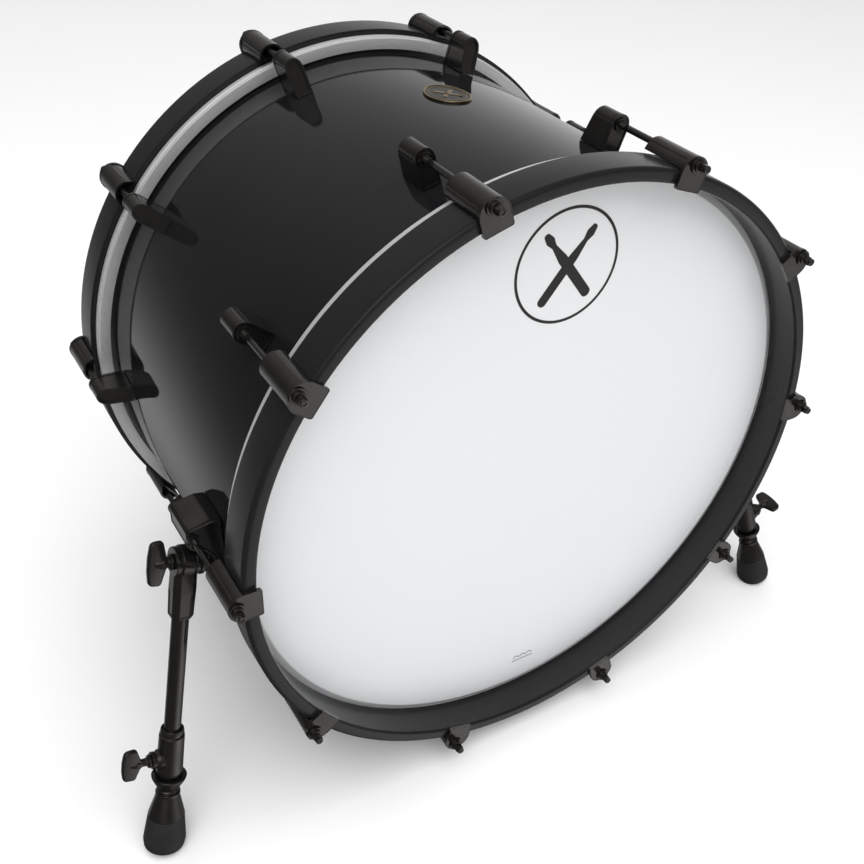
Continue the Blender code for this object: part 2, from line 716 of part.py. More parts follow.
def make_spurs():
    bracket = bracket_mesh()
    leg = leg_mesh()
    pivot_tip = -(KNUCKLE_HALF_WIDTH + GAP + PIVOT_BOLT_IN_EAR)
    pivot_shoulder = KNUCKLE_HALF_WIDTH + GAP
    pivot_bolt = wing_bolt_mesh(
        PIVOT_BOLT_RADIUS, pivot_tip, pivot_shoulder, WING_SPAN, WING_STALK
    )
    clamp_tip = INNER_ROD_RADIUS + 2 * GAP
    clamp_bolt = wing_bolt_mesh(
        CLAMP_BOLT_RADIUS, clamp_tip, CLAMP_BOSS_REACH + GAP, WING_SMALL_SPAN, WING_SMALL_STALK
    )
    turned_bolt = clamp_bolt.copy()
    turned_bolt.transform(Matrix.Rotation(RIGHT_CLAMP_TURN, 4, "X"))
    rod = shaded(turned_mesh(spur_rod_profile(), 20))
    rubber = rubber_mesh()
    for prefix, side in (("left", -1), ("right", 1)):
        casting = bracket if side > 0 else mirrored(bracket)
        lower_bolt = turned_bolt if side > 0 else clamp_bolt
        add_object(f"{prefix}_spur_bracket", casting.copy(), BLACK_NICKEL)
        pieces = (
            ("spur_leg", leg, BLACK_NICKEL, (0.0, 0.0, 0.0)),
            ("spur_pivot_wing_bolt", pivot_bolt, BLACK_NICKEL, (0.0, 0.0, 0.0)),
            ("spur_height_wing_bolt", lower_bolt, BLACK_NICKEL, (0.0, 0.0, -CLAMP_BOSS_AT)),
            ("spur_rod", rod, BLACK_NICKEL, (0.0, 0.0, 0.0)),
            ("spur_foot", rubber, RUBBER, (0.0, 0.0, 0.0)),
        )
        frame = spur_matrix(side)
        for name, mesh, look, place in pieces:
            solid = mesh.copy() if side > 0 else mirrored(mesh)
            obj = add_object(f"{prefix}_{name}", shaded(solid), look)
            obj.location = frame @ Vector(place)
            obj.rotation_euler = (-SPUR_RAKE, -side * SPUR_SPLAY, 0.0)


def set_stance():
    """Tips the drum so that the floor plane becomes z = 0."""
    point, tilt, _ = floor_plane()
    turn = Matrix.Rotation(-tilt, 4, "X")
    STANCE.rotation_euler = (-tilt, 0.0, 0.0)
    STANCE.location = (0.0, -ORIGIN_SETBACK, -(turn @ point).z)


clear_scene()
PARTS = collection("bass_drum")
CUTTERS = collection("cutters")
CUTTERS.hide_render = True
STANCE = bpy.data.objects.new("stance", None)
PARTS.objects.link(STANCE)
make_drum()
make_lugs()
make_claws()
make_badge()
make_spurs()
set_stance()
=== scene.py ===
"""The finished look of the bass drum, laid out as an add-on with one operator for each group of pieces."""

import json
import math

import bmesh
import bpy
from mathutils import Euler, Matrix, Vector


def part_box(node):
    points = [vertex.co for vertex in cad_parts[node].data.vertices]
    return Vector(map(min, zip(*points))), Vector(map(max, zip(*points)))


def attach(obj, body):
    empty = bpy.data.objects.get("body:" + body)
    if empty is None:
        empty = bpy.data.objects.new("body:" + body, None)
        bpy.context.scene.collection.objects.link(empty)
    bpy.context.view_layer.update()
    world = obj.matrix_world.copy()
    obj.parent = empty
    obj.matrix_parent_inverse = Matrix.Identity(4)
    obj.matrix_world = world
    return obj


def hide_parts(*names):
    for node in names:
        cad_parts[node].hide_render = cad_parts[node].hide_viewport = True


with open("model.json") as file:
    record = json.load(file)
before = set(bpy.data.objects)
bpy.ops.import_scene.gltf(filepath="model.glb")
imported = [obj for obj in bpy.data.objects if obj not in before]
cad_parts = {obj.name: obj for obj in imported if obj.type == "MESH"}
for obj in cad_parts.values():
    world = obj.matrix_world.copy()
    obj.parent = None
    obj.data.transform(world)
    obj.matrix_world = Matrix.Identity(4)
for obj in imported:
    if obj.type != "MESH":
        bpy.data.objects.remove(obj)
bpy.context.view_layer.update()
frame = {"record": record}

bl_info = {
    "name": "Bass drum",
    "version": (1, 0, 0),
    "blender": (4, 5, 0),
    "location": "3D Viewport > Sidebar > Bass drum",
    "description": "Makes a lacquered bass drum with its hoops, heads, claws, lugs and folding spurs",
    "category": "Add Mesh",
}

RECORD = frame["record"]
MOUNTS = {mount["name"]: mount for mount in RECORD["mounts"]}
JOINTS = {joint["name"]: joint for joint in RECORD["behaviour"]["joints"]}

# The drum's own layout: its axis is +Y, y = 0 is the front edge of the front hoop, Z is up.
AXIS = Vector(MOUNTS["pedal_clamp_face"]["axis"]).normalized()
REAR_FACE = Vector(MOUNTS["pedal_clamp_face"]["pos_m"])
FRONT_FACE = Vector(MOUNTS["front_hoop_face"]["pos_m"])
DEPTH = (REAR_FACE - FRONT_FACE).dot(AXIS)
SIDEWAYS = Vector((1.0, 0.0, 0.0))
LAYOUT = Matrix((SIDEWAYS, AXIS, SIDEWAYS.cross(AXIS))).transposed().to_4x4()
LAYOUT.translation = (REAR_FACE + FRONT_FACE) / 2 - AXIS * DEPTH / 2

SHELL_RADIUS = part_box("shell")[1][0]
HOOP_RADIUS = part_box("front_hoop")[1][0]
RING_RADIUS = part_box("front_head_ring")[1][0]
GAP = 0.0003
MERGE = 0.000002

LUG_ANGLES = (-162, -126, -90, -54, -18, 18, 54, 90, 126, 162)
SPUR_ANGLE = 90
SIDES = ("left", "right")
FRONT_AND_REAR = (("front", False), ("rear", True))


# ---------------------------------------------------------------- sizes and colours


def length(name, description, default):
    return bpy.props.FloatProperty(
        name=name, description=description, default=default, min=0.0, subtype="DISTANCE", unit="LENGTH"
    )


def colour(name, description, default):
    return bpy.props.FloatVectorProperty(
        name=name, description=description, default=default, size=3, min=0.0, max=1.0, subtype="COLOR"
    )


class DrumSizes(bpy.types.PropertyGroup):
    """Sizes of the shell, the heads and what is on them."""

    shell_depth: length("Shell depth", "Depth of the wooden shell", 0.3556)
    shell_wall: length("Shell wall", "Thickness of the shell's plies", 0.0085)
    hoop_depth: length("Hoop depth", "Depth of a wooden hoop", 0.0355)
    hoop_wall: length("Hoop wall", "Thickness of a wooden hoop", 0.0125)
    hoop_round: length("Hoop rounding", "Radius on the hoop's outer edge", 0.0040)
    ring_height: length("Flesh hoop height", "Height of the metal hoop that holds the film", 0.0115)
    ring_lip: length("Flesh hoop lip", "Width of the flesh hoop's outer rim", 0.0064)
    ring_step: length("Flesh hoop step", "Drop from the rim to the film's seat", 0.0030)
    film: length("Film thickness", "Thickness of the drum head's film", 0.0006)
    mark_radius: length("Mark radius", "Outer radius of the printed ring", 0.0515)
    mark_line: length("Mark line", "Width of the printed ring's line", 0.0026)
    badge_across: length("Badge across", "Width of the badge round the shell", 0.0420)
    badge_along: length("Badge along", "Length of the badge along the shell", 0.0500)
    badge_setback: length("Badge setback", "Badge's centre from the front edge", 0.2400)
    round_steps: bpy.props.IntProperty(
        name="Round steps", description="Facets round the shell and the hoops", default=240, min=48
    )


class HardwareSizes(bpy.types.PropertyGroup):
    """Sizes of the lugs, claws, rods and spurs."""

    rod_standoff: length("Rod standoff", "Tension rod's axis above the hoop", 0.0065)
    rod_radius: length("Rod radius", "Radius of a tension rod", 0.0029)
    rod_in_lug: length("Rod in lug", "How far a tension rod reaches into its lug", 0.0110)
    lug_width: length("Lug width", "Width of a lug", 0.0184)
    lug_length: length("Lug length", "Length of a lug at its base", 0.0330)
    lug_top: length("Lug top", "Length of a lug at its top", 0.0250)
    front_setback: length("Front lug setback", "Front lugs' face from the front edge", 0.0920)
    rear_setback: length("Rear lug setback", "Rear lugs' face from the rear edge", 0.0700)
    claw_width: length("Claw width", "Width of a claw", 0.0270)
    claw_reach: length("Claw reach", "Claw's length behind the hoop", 0.0090)
    claw_plate: length("Claw plate", "Thickness of the claw's front plate", 0.0035)
    claw_hook: length("Claw hook", "How far the plate reaches inside the hoop", 0.0025)
    bracket_setback: length("Bracket setback", "Spur bracket's face from the front edge", 0.0880)
    bracket_length: length("Bracket length", "Spur bracket's length along the shell", 0.0420)
    bracket_height: length("Bracket height", "Spur bracket's height above the shell", 0.0305)
    bracket_width: length("Bracket width", "Spur bracket's width round the shell", 0.0230)
    knuckle_radius: length("Knuckle radius", "Radius of the spur's knuckle", 0.0130)
    knuckle_half: length("Knuckle half width", "Half of the knuckle's width", 0.0105)
    socket_length: length("Socket length", "Pivot to the lower end of the socket", 0.0530)
    tube_radius: length("Tube radius", "Radius of the spur's tube", 0.0075)
    collar_top: length("Collar top", "Pivot to the top of the clamp collar", 0.1670)
    collar_length: length("Collar length", "Length of the clamp collar", 0.0495)
    collar_radius: length("Collar radius", "Radius of the clamp collar", 0.0117)
    boss_drop: length("Clamp boss drop", "Collar's top to the clamp boss", 0.0310)
    boss_reach: length("Clamp boss reach", "Leg's axis to the clamp boss's face", 0.0180)
    inner_rod: length("Inner rod radius", "Radius of the sliding rod", 0.0052)
    inner_top: length("Inner rod top", "Pivot to the top of the sliding rod", 0.0700)
    flange_radius: length("Flange radius", "Radius of the rod's stop flange", 0.0160)
    flange_thickness: length("Flange thickness", "Thickness of the stop flange", 0.0070)
    neck_length: length("Neck length", "Length of the neck below the flange", 0.0120)
    cone_length: length("Cone length", "Length of the cone above the rubber", 0.0250)
    cone_radius: length("Cone radius", "Cone's radius at the rubber", 0.0168)
    rubber_length: length("Rubber length", "Length of the rubber foot", 0.0390)
    rubber_radius: length("Rubber radius", "Rubber foot's largest radius", 0.0193)
    wing_span: length("Wing span", "Half span of the pivot wing bolt", 0.0210)
    wing_stalk: length("Wing stalk", "Length of the pivot wing bolt's stalk", 0.0040)
    small_span: length("Small wing span", "Half span of the height wing bolt", 0.0160)
    small_stalk: length("Small wing stalk", "Length of the height wing bolt's stalk", 0.0085)
    wing_length: length("Wing length", "Length of a wing bolt's wings", 0.0160)
    right_bolt_turn: bpy.props.FloatProperty(
        name="Right bolt turn",
        description="How far the right height wing bolt is turned",
        default=math.radians(105.0),
        subtype="ANGLE",
        unit="ROTATION",
    )


class Finishes(bpy.types.PropertyGroup):
    """Colours of the drum's finishes."""

    shell: colour("Shell lacquer", "Gloss black lacquer", (0.008, 0.008, 0.009))
    hoop: colour("Hoop lacquer", "Semi-gloss black lacquer", (0.012, 0.012, 0.013))
    aluminium: colour("Aluminium", "Flesh hoops", (0.86, 0.86, 0.87))
    film: colour("Film", "Drum heads", (0.80, 0.81, 0.82))
    nickel: colour("Black nickel", "Hardware plating", (0.100, 0.095, 0.090))
    rubber: colour("Rubber", "Feet", (0.014, 0.014, 0.015))
    brass: colour("Brass", "Badge", (0.46, 0.36, 0.22))
    enamel: colour("Enamel", "Badge's dark field", (0.012, 0.011, 0.010))
    ink: colour("Ink", "Printed mark on the head", (0.010, 0.010, 0.011))
    grey_ink: colour("Grey ink", "Small printed emblem", (0.28, 0.28, 0.29))
    floor: colour("Floor", "Studio floor", (0.93, 0.93, 0.93))


class StudioSettings(bpy.types.PropertyGroup):
    """The camera and the lights."""

    camera_place: bpy.props.FloatVectorProperty(
        name="Camera place",
        description="Camera's place in the drum's own layout",
        default=(-0.4877, -0.5741, 0.5893),
        size=3,
        subtype="TRANSLATION",
        unit="LENGTH",
    )
    camera_turn: bpy.props.FloatVectorProperty(
        name="Camera turn",
        description="Camera's rotation in the drum's own layout",
        default=tuple(math.radians(angle) for angle in (53.425, -3.465, -32.344)),
        size=3,
        subtype="EULER",
        unit="ROTATION",
    )
    lens: bpy.props.FloatProperty(
        name="Lens",
        description="Focal length on a 36 mm sensor",
        default=44.34,
        min=1.0,
        subtype="DISTANCE_CAMERA",
    )
    shift_x: bpy.props.FloatProperty(name="Shift X", description="Sideways lens shift", default=-0.0565)
    shift_y: bpy.props.FloatProperty(name="Shift Y", description="Upward lens shift", default=0.0260)


def drum():
    return bpy.context.scene.drum_sizes


def hardware():
    return bpy.context.scene.drum_hardware


def finishes():
    return bpy.context.scene.drum_finishes


# ---------------------------------------------------------------- shader expressions


class Number:
    """A socket that holds a number, so that shader maths is written as Python expressions."""

    def __init__(self, graph, socket):
        self.graph = graph
        self.socket = socket

    def maths(self, operation, first, second=0.0):
        node = self.graph.node("ShaderNodeMath", {"operation": operation}, {0: first, 1: second})
        return Number(self.graph, node.outputs[0])

    def __add__(self, other):
        return self.maths("ADD", self, other)

    def __sub__(self, other):
        return self.maths("SUBTRACT", self, other)

    def __rsub__(self, other):
        return self.maths("SUBTRACT", other, self)

    def __mul__(self, other):
        return self.maths("MULTIPLY", self, other)

    def __pow__(self, other):
        return self.maths("POWER", self, other)

    __radd__ = __add__
    __rmul__ = __mul__


class Graph:
    """A node tree that grows by method calls."""

    def __init__(self, tree):
        self.tree = tree

    def node(self, kind, settings=None, values=None):
        made = self.tree.nodes.new(kind)
        for name, setting in (settings or {}).items():
            setattr(made, name, setting)
        for name, value in (values or {}).items():
            self.feed(made.inputs[name], value)
        return made

    def feed(self, socket, value):
        if isinstance(value, Number):
            value = value.socket
        if isinstance(value, bpy.types.NodeSocket):
            self.tree.links.new(value, socket)
        else:
            socket.default_value = value

    def dot(self, first, second):
        node = self.node("ShaderNodeVectorMath", {"operation": "DOT_PRODUCT"}, {0: first, 1: second})
        return Number(self, node.outputs["Value"])

    def mix(self, factor, first, second):
        """A colour between two colours."""
        node = self.node("ShaderNodeMix", {"data_type": "RGBA"}, {0: factor, 6: first, 7: second})
        return node.outputs[2]


class Finish(Graph):
    """A Principled material on Object coordinates."""

    def __init__(self, name, **constants):
        self.material = bpy.data.materials.new(name)
        self.material.use_nodes = True
        super().__init__(self.material.node_tree)
        self.shader = self.tree.nodes["Principled BSDF"]
        for socket, value in constants.items():
            self.shader.inputs[socket.replace("_", " ")].default_value = value
        self.place = self.node("ShaderNodeTexCoord").outputs["Object"]

    def noise(self, scale, detail=2.0, place=None, roughness=0.5):
        values = {"Vector": place or self.place, "Scale": scale, "Detail": detail, "Roughness": roughness}
        return Number(self, self.node("ShaderNodeTexNoise", None, values).outputs["Fac"])

    def round_place(self, along, across):
        """Coordinates that run round the drum's axis, for marks that follow a turned surface."""
        split = self.node("ShaderNodeSeparateXYZ", None, {0: self.place})
        x = Number(self, split.outputs["X"])
        z = Number(self, split.outputs["Z"]) - LAYOUT.translation.z
        angle = x.maths("ARCTAN2", x, z)
        radius = x.maths("SQRT", x * x + z * z)
        values = {"X": angle * along, "Y": Number(self, split.outputs["Y"]) * across, "Z": radius * across}
        return self.node("ShaderNodeCombineXYZ", None, values).outputs[0]

    def set(self, name, value):
        self.feed(self.shader.inputs[name], value)
        return self

    def bump(self, height, strength, distance):
        """Raises the surface by the height, a number from 0 to 1, times the distance."""
        values = {"Height": height, "Strength": strength, "Distance": distance}
        return self.set("Normal", self.node("ShaderNodeBump", None, values).outputs["Normal"])


def opaque(rgb, factor=1.0):
    return (*(min(1.0, part * factor) for part in rgb), 1.0)


MADE = {}


def finish(maker):
    """The material a maker function makes, made once."""
    if maker.__name__ not in MADE:
        MADE[maker.__name__] = maker(finishes()).material
    return MADE[maker.__name__]


def shell_lacquer(colours):
    """Polished lacquer: faint orange peel and the haze that polishing leaves."""
    graph = Finish("shell_lacquer")
    haze = graph.noise(9.0, 3.0)
    peel = graph.noise(260.0, 2.0)
    cloud = graph.mix(haze, opaque(colours.shell, 0.85), opaque(colours.shell, 1.25))
    graph.set("Base Color", cloud)
    graph.set("Roughness", haze * 0.05 + 0.035)
    return graph.bump(peel, 0.05, 0.0002)


def hoop_lacquer(colours):
    """Thinner lacquer over maple: the grain runs round the hoop and just shows in the gloss."""
    graph = Finish("hoop_lacquer", Specular_IOR_Level=0.32)
    grain = graph.noise(1.0, 4.0, graph.round_place(26.0, 900.0))
    peel = graph.noise(420.0, 2.0)
    graph.set("Base Color", graph.mix(grain, opaque(colours.hoop, 0.8), opaque(colours.hoop, 1.3)))
    graph.set("Roughness", grain * 0.08 + graph.noise(14.0) * 0.06 + 0.15)
    return graph.bump(grain * 0.4 + peel * 0.6, 0.10, 0.0002)


def brushed_aluminium(colours):
    """Rolled aluminium, brushed along its length."""
    graph = Finish("brushed_aluminium", Metallic=0.60)
    lines = graph.noise(1.0, 5.0, graph.round_place(18.0, 2600.0))
    stain = graph.noise(30.0, 3.0)
    dull = opaque(colours.aluminium, 0.60)
    graph.set("Base Color", graph.mix(lines, dull, opaque(colours.aluminium, 1.12)))
    graph.set("Roughness", lines * 0.14 + stain * 0.08 + 0.34)
    return graph.bump(lines, 0.20, 0.0001)


def head_film(colours):
    """Smooth white film with a fine sprayed grain."""
    graph = Finish("head_film")
    grain = graph.noise(1500.0, 2.0)
    cloud = graph.noise(5.0, 2.0)
    graph.set("Base Color", graph.mix(cloud, opaque(colours.film, 0.985), opaque(colours.film, 1.01)))
    graph.set("Roughness", grain * 0.10 + cloud * 0.05 + 0.34)
    return graph.bump(grain, 0.10, 0.00006)


def black_nickel(colours):
    """Smoky dark plating over a casting that isn't quite flat, a little warmer where it is worn."""
    graph = Finish("black_nickel", Metallic=0.94)
    cast = graph.noise(120.0, 3.0)
    smoke = graph.noise(34.0, 3.0)
    fine = graph.noise(900.0, 2.0)
    dark = opaque(colours.nickel, 0.62)
    graph.set("Base Color", graph.mix(smoke, dark, opaque(colours.nickel, 1.35)))
    graph.set("Roughness", smoke * 0.12 + fine * 0.05 + 0.08)
    return graph.bump(cast, 0.10, 0.0004)


def black_rubber(colours):
    """Moulded rubber with a fine grain and a dusty bloom."""
    graph = Finish("black_rubber", Specular_IOR_Level=0.35)
    grain = graph.noise(1100.0, 3.0)
    bloom = graph.noise(45.0, 4.0)
    graph.set("Base Color", graph.mix(bloom, opaque(colours.rubber, 0.75), opaque(colours.rubber, 1.9)))
    graph.set("Roughness", bloom * 0.22 + 0.46)
    return graph.bump(grain, 0.25, 0.0002)


def aged_brass(colours):
    """Brass that has darkened unevenly."""
    graph = Finish("aged_brass", Metallic=1.0)
    patina = graph.noise(240.0, 4.0)
    graph.set("Base Color", graph.mix(patina, opaque(colours.brass, 0.55), opaque(colours.brass, 1.25)))
    graph.set("Roughness", patina * 0.22 + 0.22)
    return graph.bump(patina, 0.15, 0.0002)


def dark_enamel(colours):
    graph = Finish("dark_enamel")
    specks = graph.noise(700.0, 3.0)
    graph.set("Base Color", graph.mix(specks, opaque(colours.enamel, 0.7), opaque(colours.enamel, 2.2)))
    graph.set("Roughness", specks * 0.2 + 0.25)
    return graph.bump(specks, 0.2, 0.0002)


def print_ink(name, tint):
    graph = Finish(name)
    dots = graph.noise(1800.0, 2.0)
    graph.set("Base Color", graph.mix(dots, opaque(tint, 0.8), opaque(tint, 1.4)))
    graph.set("Roughness", dots * 0.15 + 0.35)
    return graph


def black_ink(colours):
    return print_ink("black_ink", colours.ink)


def grey_ink(colours):
    return print_ink("grey_ink", colours.grey_ink)


def studio_floor(colours):
    graph = Finish("studio_floor")
    mottle = graph.noise(3.0, 3.0)
    graph.set("Base Color", graph.mix(mottle, opaque(colours.floor, 0.985), opaque(colours.floor, 1.0)))
    return graph.set("Roughness", mottle * 0.1 + 0.8)


# ---------------------------------------------------------------- mesh helpers


def rounded(corners, steps=4, closed=True):
    """Points along an outline. Each corner is (across, up, radius of its rounding)."""
    points = []
    count = len(corners)
    for index, (across, up, radius) in enumerate(corners):
        here = Vector((across, up))
        if radius <= 0 or (not closed and index in (0, count - 1)):
            points.append(here)
            continue
        before = (Vector(corners[index - 1][:2]) - here).normalized()
        after = (Vector(corners[(index + 1) % count][:2]) - here).normalized()
        half = before.angle(after) / 2
        centre = here + (before + after).normalized() * radius / math.sin(half)
        start = here + before * radius / math.tan(half) - centre
        end = here + after * radius / math.tan(half) - centre
        low = math.atan2(start.y, start.x)
        turn = math.remainder(math.atan2(end.y, end.x) - low, math.tau)
        for step in range(steps + 1):
            angle = low + turn * step / steps
            points.append(centre + Vector((math.cos(angle), math.sin(angle))) * radius)
    return points


def arc(across, up, radius, start, end, steps):
    """Points on an arc, its angles in degrees from straight up towards +X."""
    angles = [math.radians(start + (end - start) * step / steps) for step in range(steps + 1)]
    return [Vector((across + radius * math.sin(a), up + radius * math.cos(a))) for a in angles]


def turned(profile, steps=64, closed=False):
    """A profile of (radius, height) spun about Z. An open one starts and ends on the axis."""
    bm = bmesh.new()
    verts = [bm.verts.new((radius, 0.0, height)) for radius, height in profile]
    edges = [bm.edges.new(pair) for pair in zip(verts, verts[1:])]
    if closed:
        edges.append(bm.edges.new((verts[-1], verts[0])))
    bmesh.ops.spin(
        bm,
        geom=verts + edges,
        axis=(0.0, 0.0, 1.0),
        cent=(0.0, 0.0, 0.0),
        angle=math.tau,
        steps=steps,
        use_merge=True,
    )
    bmesh.ops.remove_doubles(bm, verts=bm.verts, dist=MERGE)
    bmesh.ops.recalc_face_normals(bm, faces=bm.faces)
    return bm


def extruded(points, low, high):
    """An outline in X and Z, filled and drawn out along Y."""
    bm = bmesh.new()
    face = bm.faces.new([bm.verts.new((x, low, z)) for x, z in points])
    out = bmesh.ops.extrude_face_region(bm, geom=[face])
    moved = [part for part in out["geom"] if isinstance(part, bmesh.types.BMVert)]
    bmesh.ops.translate(bm, vec=(0.0, high - low, 0.0), verts=moved)
    bmesh.ops.recalc_face_normals(bm, faces=bm.faces)
    return bm


def rod(radius, start, end, segments=32, radius_end=None):
    """A cylinder or cone from one point to another."""
    bm = bmesh.new()
    start, end = Vector(start), Vector(end)
    bmesh.ops.create_cone(
        bm,
        cap_ends=True,
        segments=segments,
        radius1=radius,
        radius2=radius if radius_end is None else radius_end,
        depth=(end - start).length,
    )
    turn = (end - start).to_track_quat("Z", "Y").to_matrix().to_4x4()
    return placed(bm, Matrix.Translation((start + end) / 2) @ turn)


def placed(bm, matrix):
    bmesh.ops.transform(bm, matrix=matrix, verts=bm.verts)
    return bm


def soften(bm, width, segments=2, degrees=28.0):
    """Rounds the edges that are sharper than this angle."""
    limit = math.radians(degrees)
    edges = [edge for edge in bm.edges if edge.is_manifold and edge.calc_face_angle() > limit]
    bmesh.ops.bevel(
        bm,
        geom=edges,
        offset=width,
        offset_type="OFFSET",
        segments=segments,
        profile=0.5,
        affect="EDGES",
        clamp_overlap=True,
        material=-1,
    )
    return bm


def facing(bm, direction, within=0.95):
    """The largest face that looks this way."""
    direction = Vector(direction).normalized()
    bm.normal_update()
    found = [face for face in bm.faces if face.normal.dot(direction) > within]
    return max(found, key=lambda face: face.calc_area())


def sink(bm, face, border, depth):
    """Leaves a border round the face and pushes the rest in, or out where depth is negative."""
    bmesh.ops.inset_region(bm, faces=[face], thickness=border, use_even_offset=True)
    inward = -face.normal * depth
    out = bmesh.ops.extrude_discrete_faces(bm, faces=[face])
    inner = out["faces"][0]
    bmesh.ops.translate(bm, vec=inward, verts=inner.verts)
    return inner


def joined(*parts):
    """Several closed shapes as one mesh."""
    whole = parts[0]
    for part in parts[1:]:
        carrier = bpy.data.meshes.new("carrier")
        part.to_mesh(carrier)
        part.free()
        whole.from_mesh(carrier)
        bpy.data.meshes.remove(carrier)
    return whole


def mirrored(bm):
    bmesh.ops.scale(bm, vec=(-1.0, 1.0, 1.0), verts=bm.verts)
    bmesh.ops.reverse_faces(bm, faces=bm.faces)
    return bm


def add_piece(name, bm, maker, body="drum", nodes=(), crease=32.0, flat_sides=False):
    """Makes the finished object, in place in the frame, hides the parts it stands for and hangs it on its
    body's empty.
    """
    mesh = bpy.data.meshes.new(name)
    bm.to_mesh(mesh)
    bm.free()
    mesh.shade_smooth()
    mesh.set_sharp_from_angle(angle=math.radians(crease))
    mesh.materials.append(finish(maker))
    piece = bpy.data.objects.new(name, mesh)
    bpy.context.scene.collection.objects.link(piece)
    if flat_sides:
        modifier = piece.modifiers.new("Flat sides", "WEIGHTED_NORMAL")
        modifier.keep_sharp = True
    if nodes:
        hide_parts(*nodes)
    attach(piece, body)
    return piece


def end_matrix(rear):
    """Turns a piece made about Z, with +Z towards its own head, onto its end of the drum."""
    if rear:
        return LAYOUT @ Matrix.Translation((0.0, DEPTH, 0.0)) @ Matrix.Rotation(-math.pi / 2, 4, "X")
    return LAYOUT @ Matrix.Rotation(math.pi / 2, 4, "X")


def round_matrix(angle, rear, radius=0.0, setback=0.0):
    """Places a piece round the drum: its Z points out from the axis, its Y away from its head."""
    turn = Matrix.Rotation(math.radians(angle), 4, "Y")
    flip = Matrix.Rotation(math.pi if rear else 0.0, 4, "Z")
    along = DEPTH - setback if rear else setback
    shift = Matrix.Translation((0.0, along, 0.0))
    return LAYOUT @ shift @ turn @ Matrix.Translation((0.0, 0.0, radius)) @ flip


def spur_matrix():
    """The right spur's frame: the pivot, X out along the hinge, Z up the leg."""
    fold = JOINTS["right_spur_fold"]
    out = Vector(fold["axis"]).normalized()
    up = -Vector(JOINTS["right_spur_extend"]["axis"]).normalized()
    matrix = Matrix((out, up.cross(out), up)).transposed().to_4x4()
    matrix.translation = Vector(fold["pos_m"])
    return matrix


def for_side(bm, side):
    return bm if side == "right" else mirrored(bm)


# ---------------------------------------------------------------- shell, hoops and heads


def head_recess():
    return (DEPTH - drum().shell_depth) / 2


def head_face():
    """The film's outer face from the hoop's front edge."""
    return head_recess() - GAP - drum().film


class MakeShell(bpy.types.Operator):
    """Makes the lacquered shell with its bearing edges"""

    bl_idname = "drum.make_shell"
    bl_label = "Shell"

    def execute(self, context):
        sizes = drum()
        top = -head_recess()
        bottom = top - sizes.shell_depth
        inner = SHELL_RADIUS - sizes.shell_wall
        edge = SHELL_RADIUS - 0.003
        corners = [
            (SHELL_RADIUS, top, 0.002),
            (SHELL_RADIUS, bottom, 0.002),
            (edge, bottom, 0.0003),
            (inner, bottom + 0.0055, 0.001),
            (inner, top - 0.0055, 0.001),
            (edge, top, 0.0003),
        ]
        shell = turned(rounded(corners, 5), sizes.round_steps, closed=True)
        placed(shell, end_matrix(False))
        add_piece("shell_lacquered", shell, shell_lacquer, nodes=["shell"])
        return {"FINISHED"}


class MakeHoops(bpy.types.Operator):
    """Makes the two wooden hoops with rounded edges"""

    bl_idname = "drum.make_hoops"
    bl_label = "Hoops"

    def execute(self, context):
        sizes = drum()
        inner = HOOP_RADIUS - sizes.hoop_wall
        low = -sizes.hoop_depth
        corners = [
            (HOOP_RADIUS, 0.0, sizes.hoop_round),
            (HOOP_RADIUS, low, 0.0008),
            (inner, low, 0.0008),
            (inner, 0.0, sizes.hoop_round * 0.8),
        ]
        for prefix, rear in FRONT_AND_REAR:
            hoop = turned(rounded(corners, 8), sizes.round_steps, closed=True)
            placed(hoop, end_matrix(rear))
            add_piece(
                f"{prefix}_hoop_lacquered", hoop, hoop_lacquer, nodes=[f"{prefix}_hoop"]
            )
        return {"FINISHED"}


class MakeHeads(bpy.types.Operator):
    """Makes the film of both heads and the flesh hoops that hold it"""

    bl_idname = "drum.make_heads"
    bl_label = "Heads"

    def execute(self, context):
        for prefix, rear in (("front_head", False), ("batter_head", True)):
            film = placed(self.film(), end_matrix(rear))
            add_piece(f"{prefix}_film", film, head_film, nodes=[prefix])
            ring = placed(self.flesh_hoop(), end_matrix(rear))
            add_piece(
                f"{prefix}_flesh_hoop",
                ring,
                brushed_aluminium,
                nodes=[f"{prefix}_ring"],
            )
        return {"FINISHED"}

    def film(self):
        """Flat across the shell, then down over its edge into the flesh hoop."""
        sizes = drum()
        top = -head_face()
        ring_front = -(sizes.hoop_depth + GAP)
        seat = ring_front - sizes.ring_step + GAP
        edge = RING_RADIUS - sizes.ring_lip - GAP
        shoulder = SHELL_RADIUS + GAP
        under = top - sizes.film
        flat = [(SHELL_RADIUS * share, top, 0.0) for share in (0.0, 0.25, 0.5, 0.75, 0.94)]
        outside = flat + [(shoulder, top, 0.002), (edge, seat + sizes.film, 0.0003), (edge, seat, 0.0002)]
        inside = [(shoulder - GAP, under, 0.0015), (SHELL_RADIUS * 0.94, under, 0.0), (0.0, under, 0.0)]
        return turned(rounded(outside + inside, 5, closed=False), sizes.round_steps)

    def flesh_hoop(self):
        """A rolled outer rim, a step down to the film's seat and a channel under it."""
        sizes = drum()
        top = -(sizes.hoop_depth + GAP)
        low = top - sizes.ring_height
        inner = SHELL_RADIUS + 0.0023
        seat = RING_RADIUS - sizes.ring_lip
        step = top - sizes.ring_step
        corners = [
            (RING_RADIUS, top, 0.0030),
            (RING_RADIUS, low + 0.0040, 0.0014),
            (RING_RADIUS - 0.0012, low + 0.0034, 0.0004),
            (RING_RADIUS - 0.0012, low, 0.0008),
            (inner, low, 0.0006),
            (inner, step, 0.0005),
            (seat, step, 0.0004),
            (seat, top, 0.0012),
        ]
        return turned(rounded(corners, 4), sizes.round_steps, closed=True)


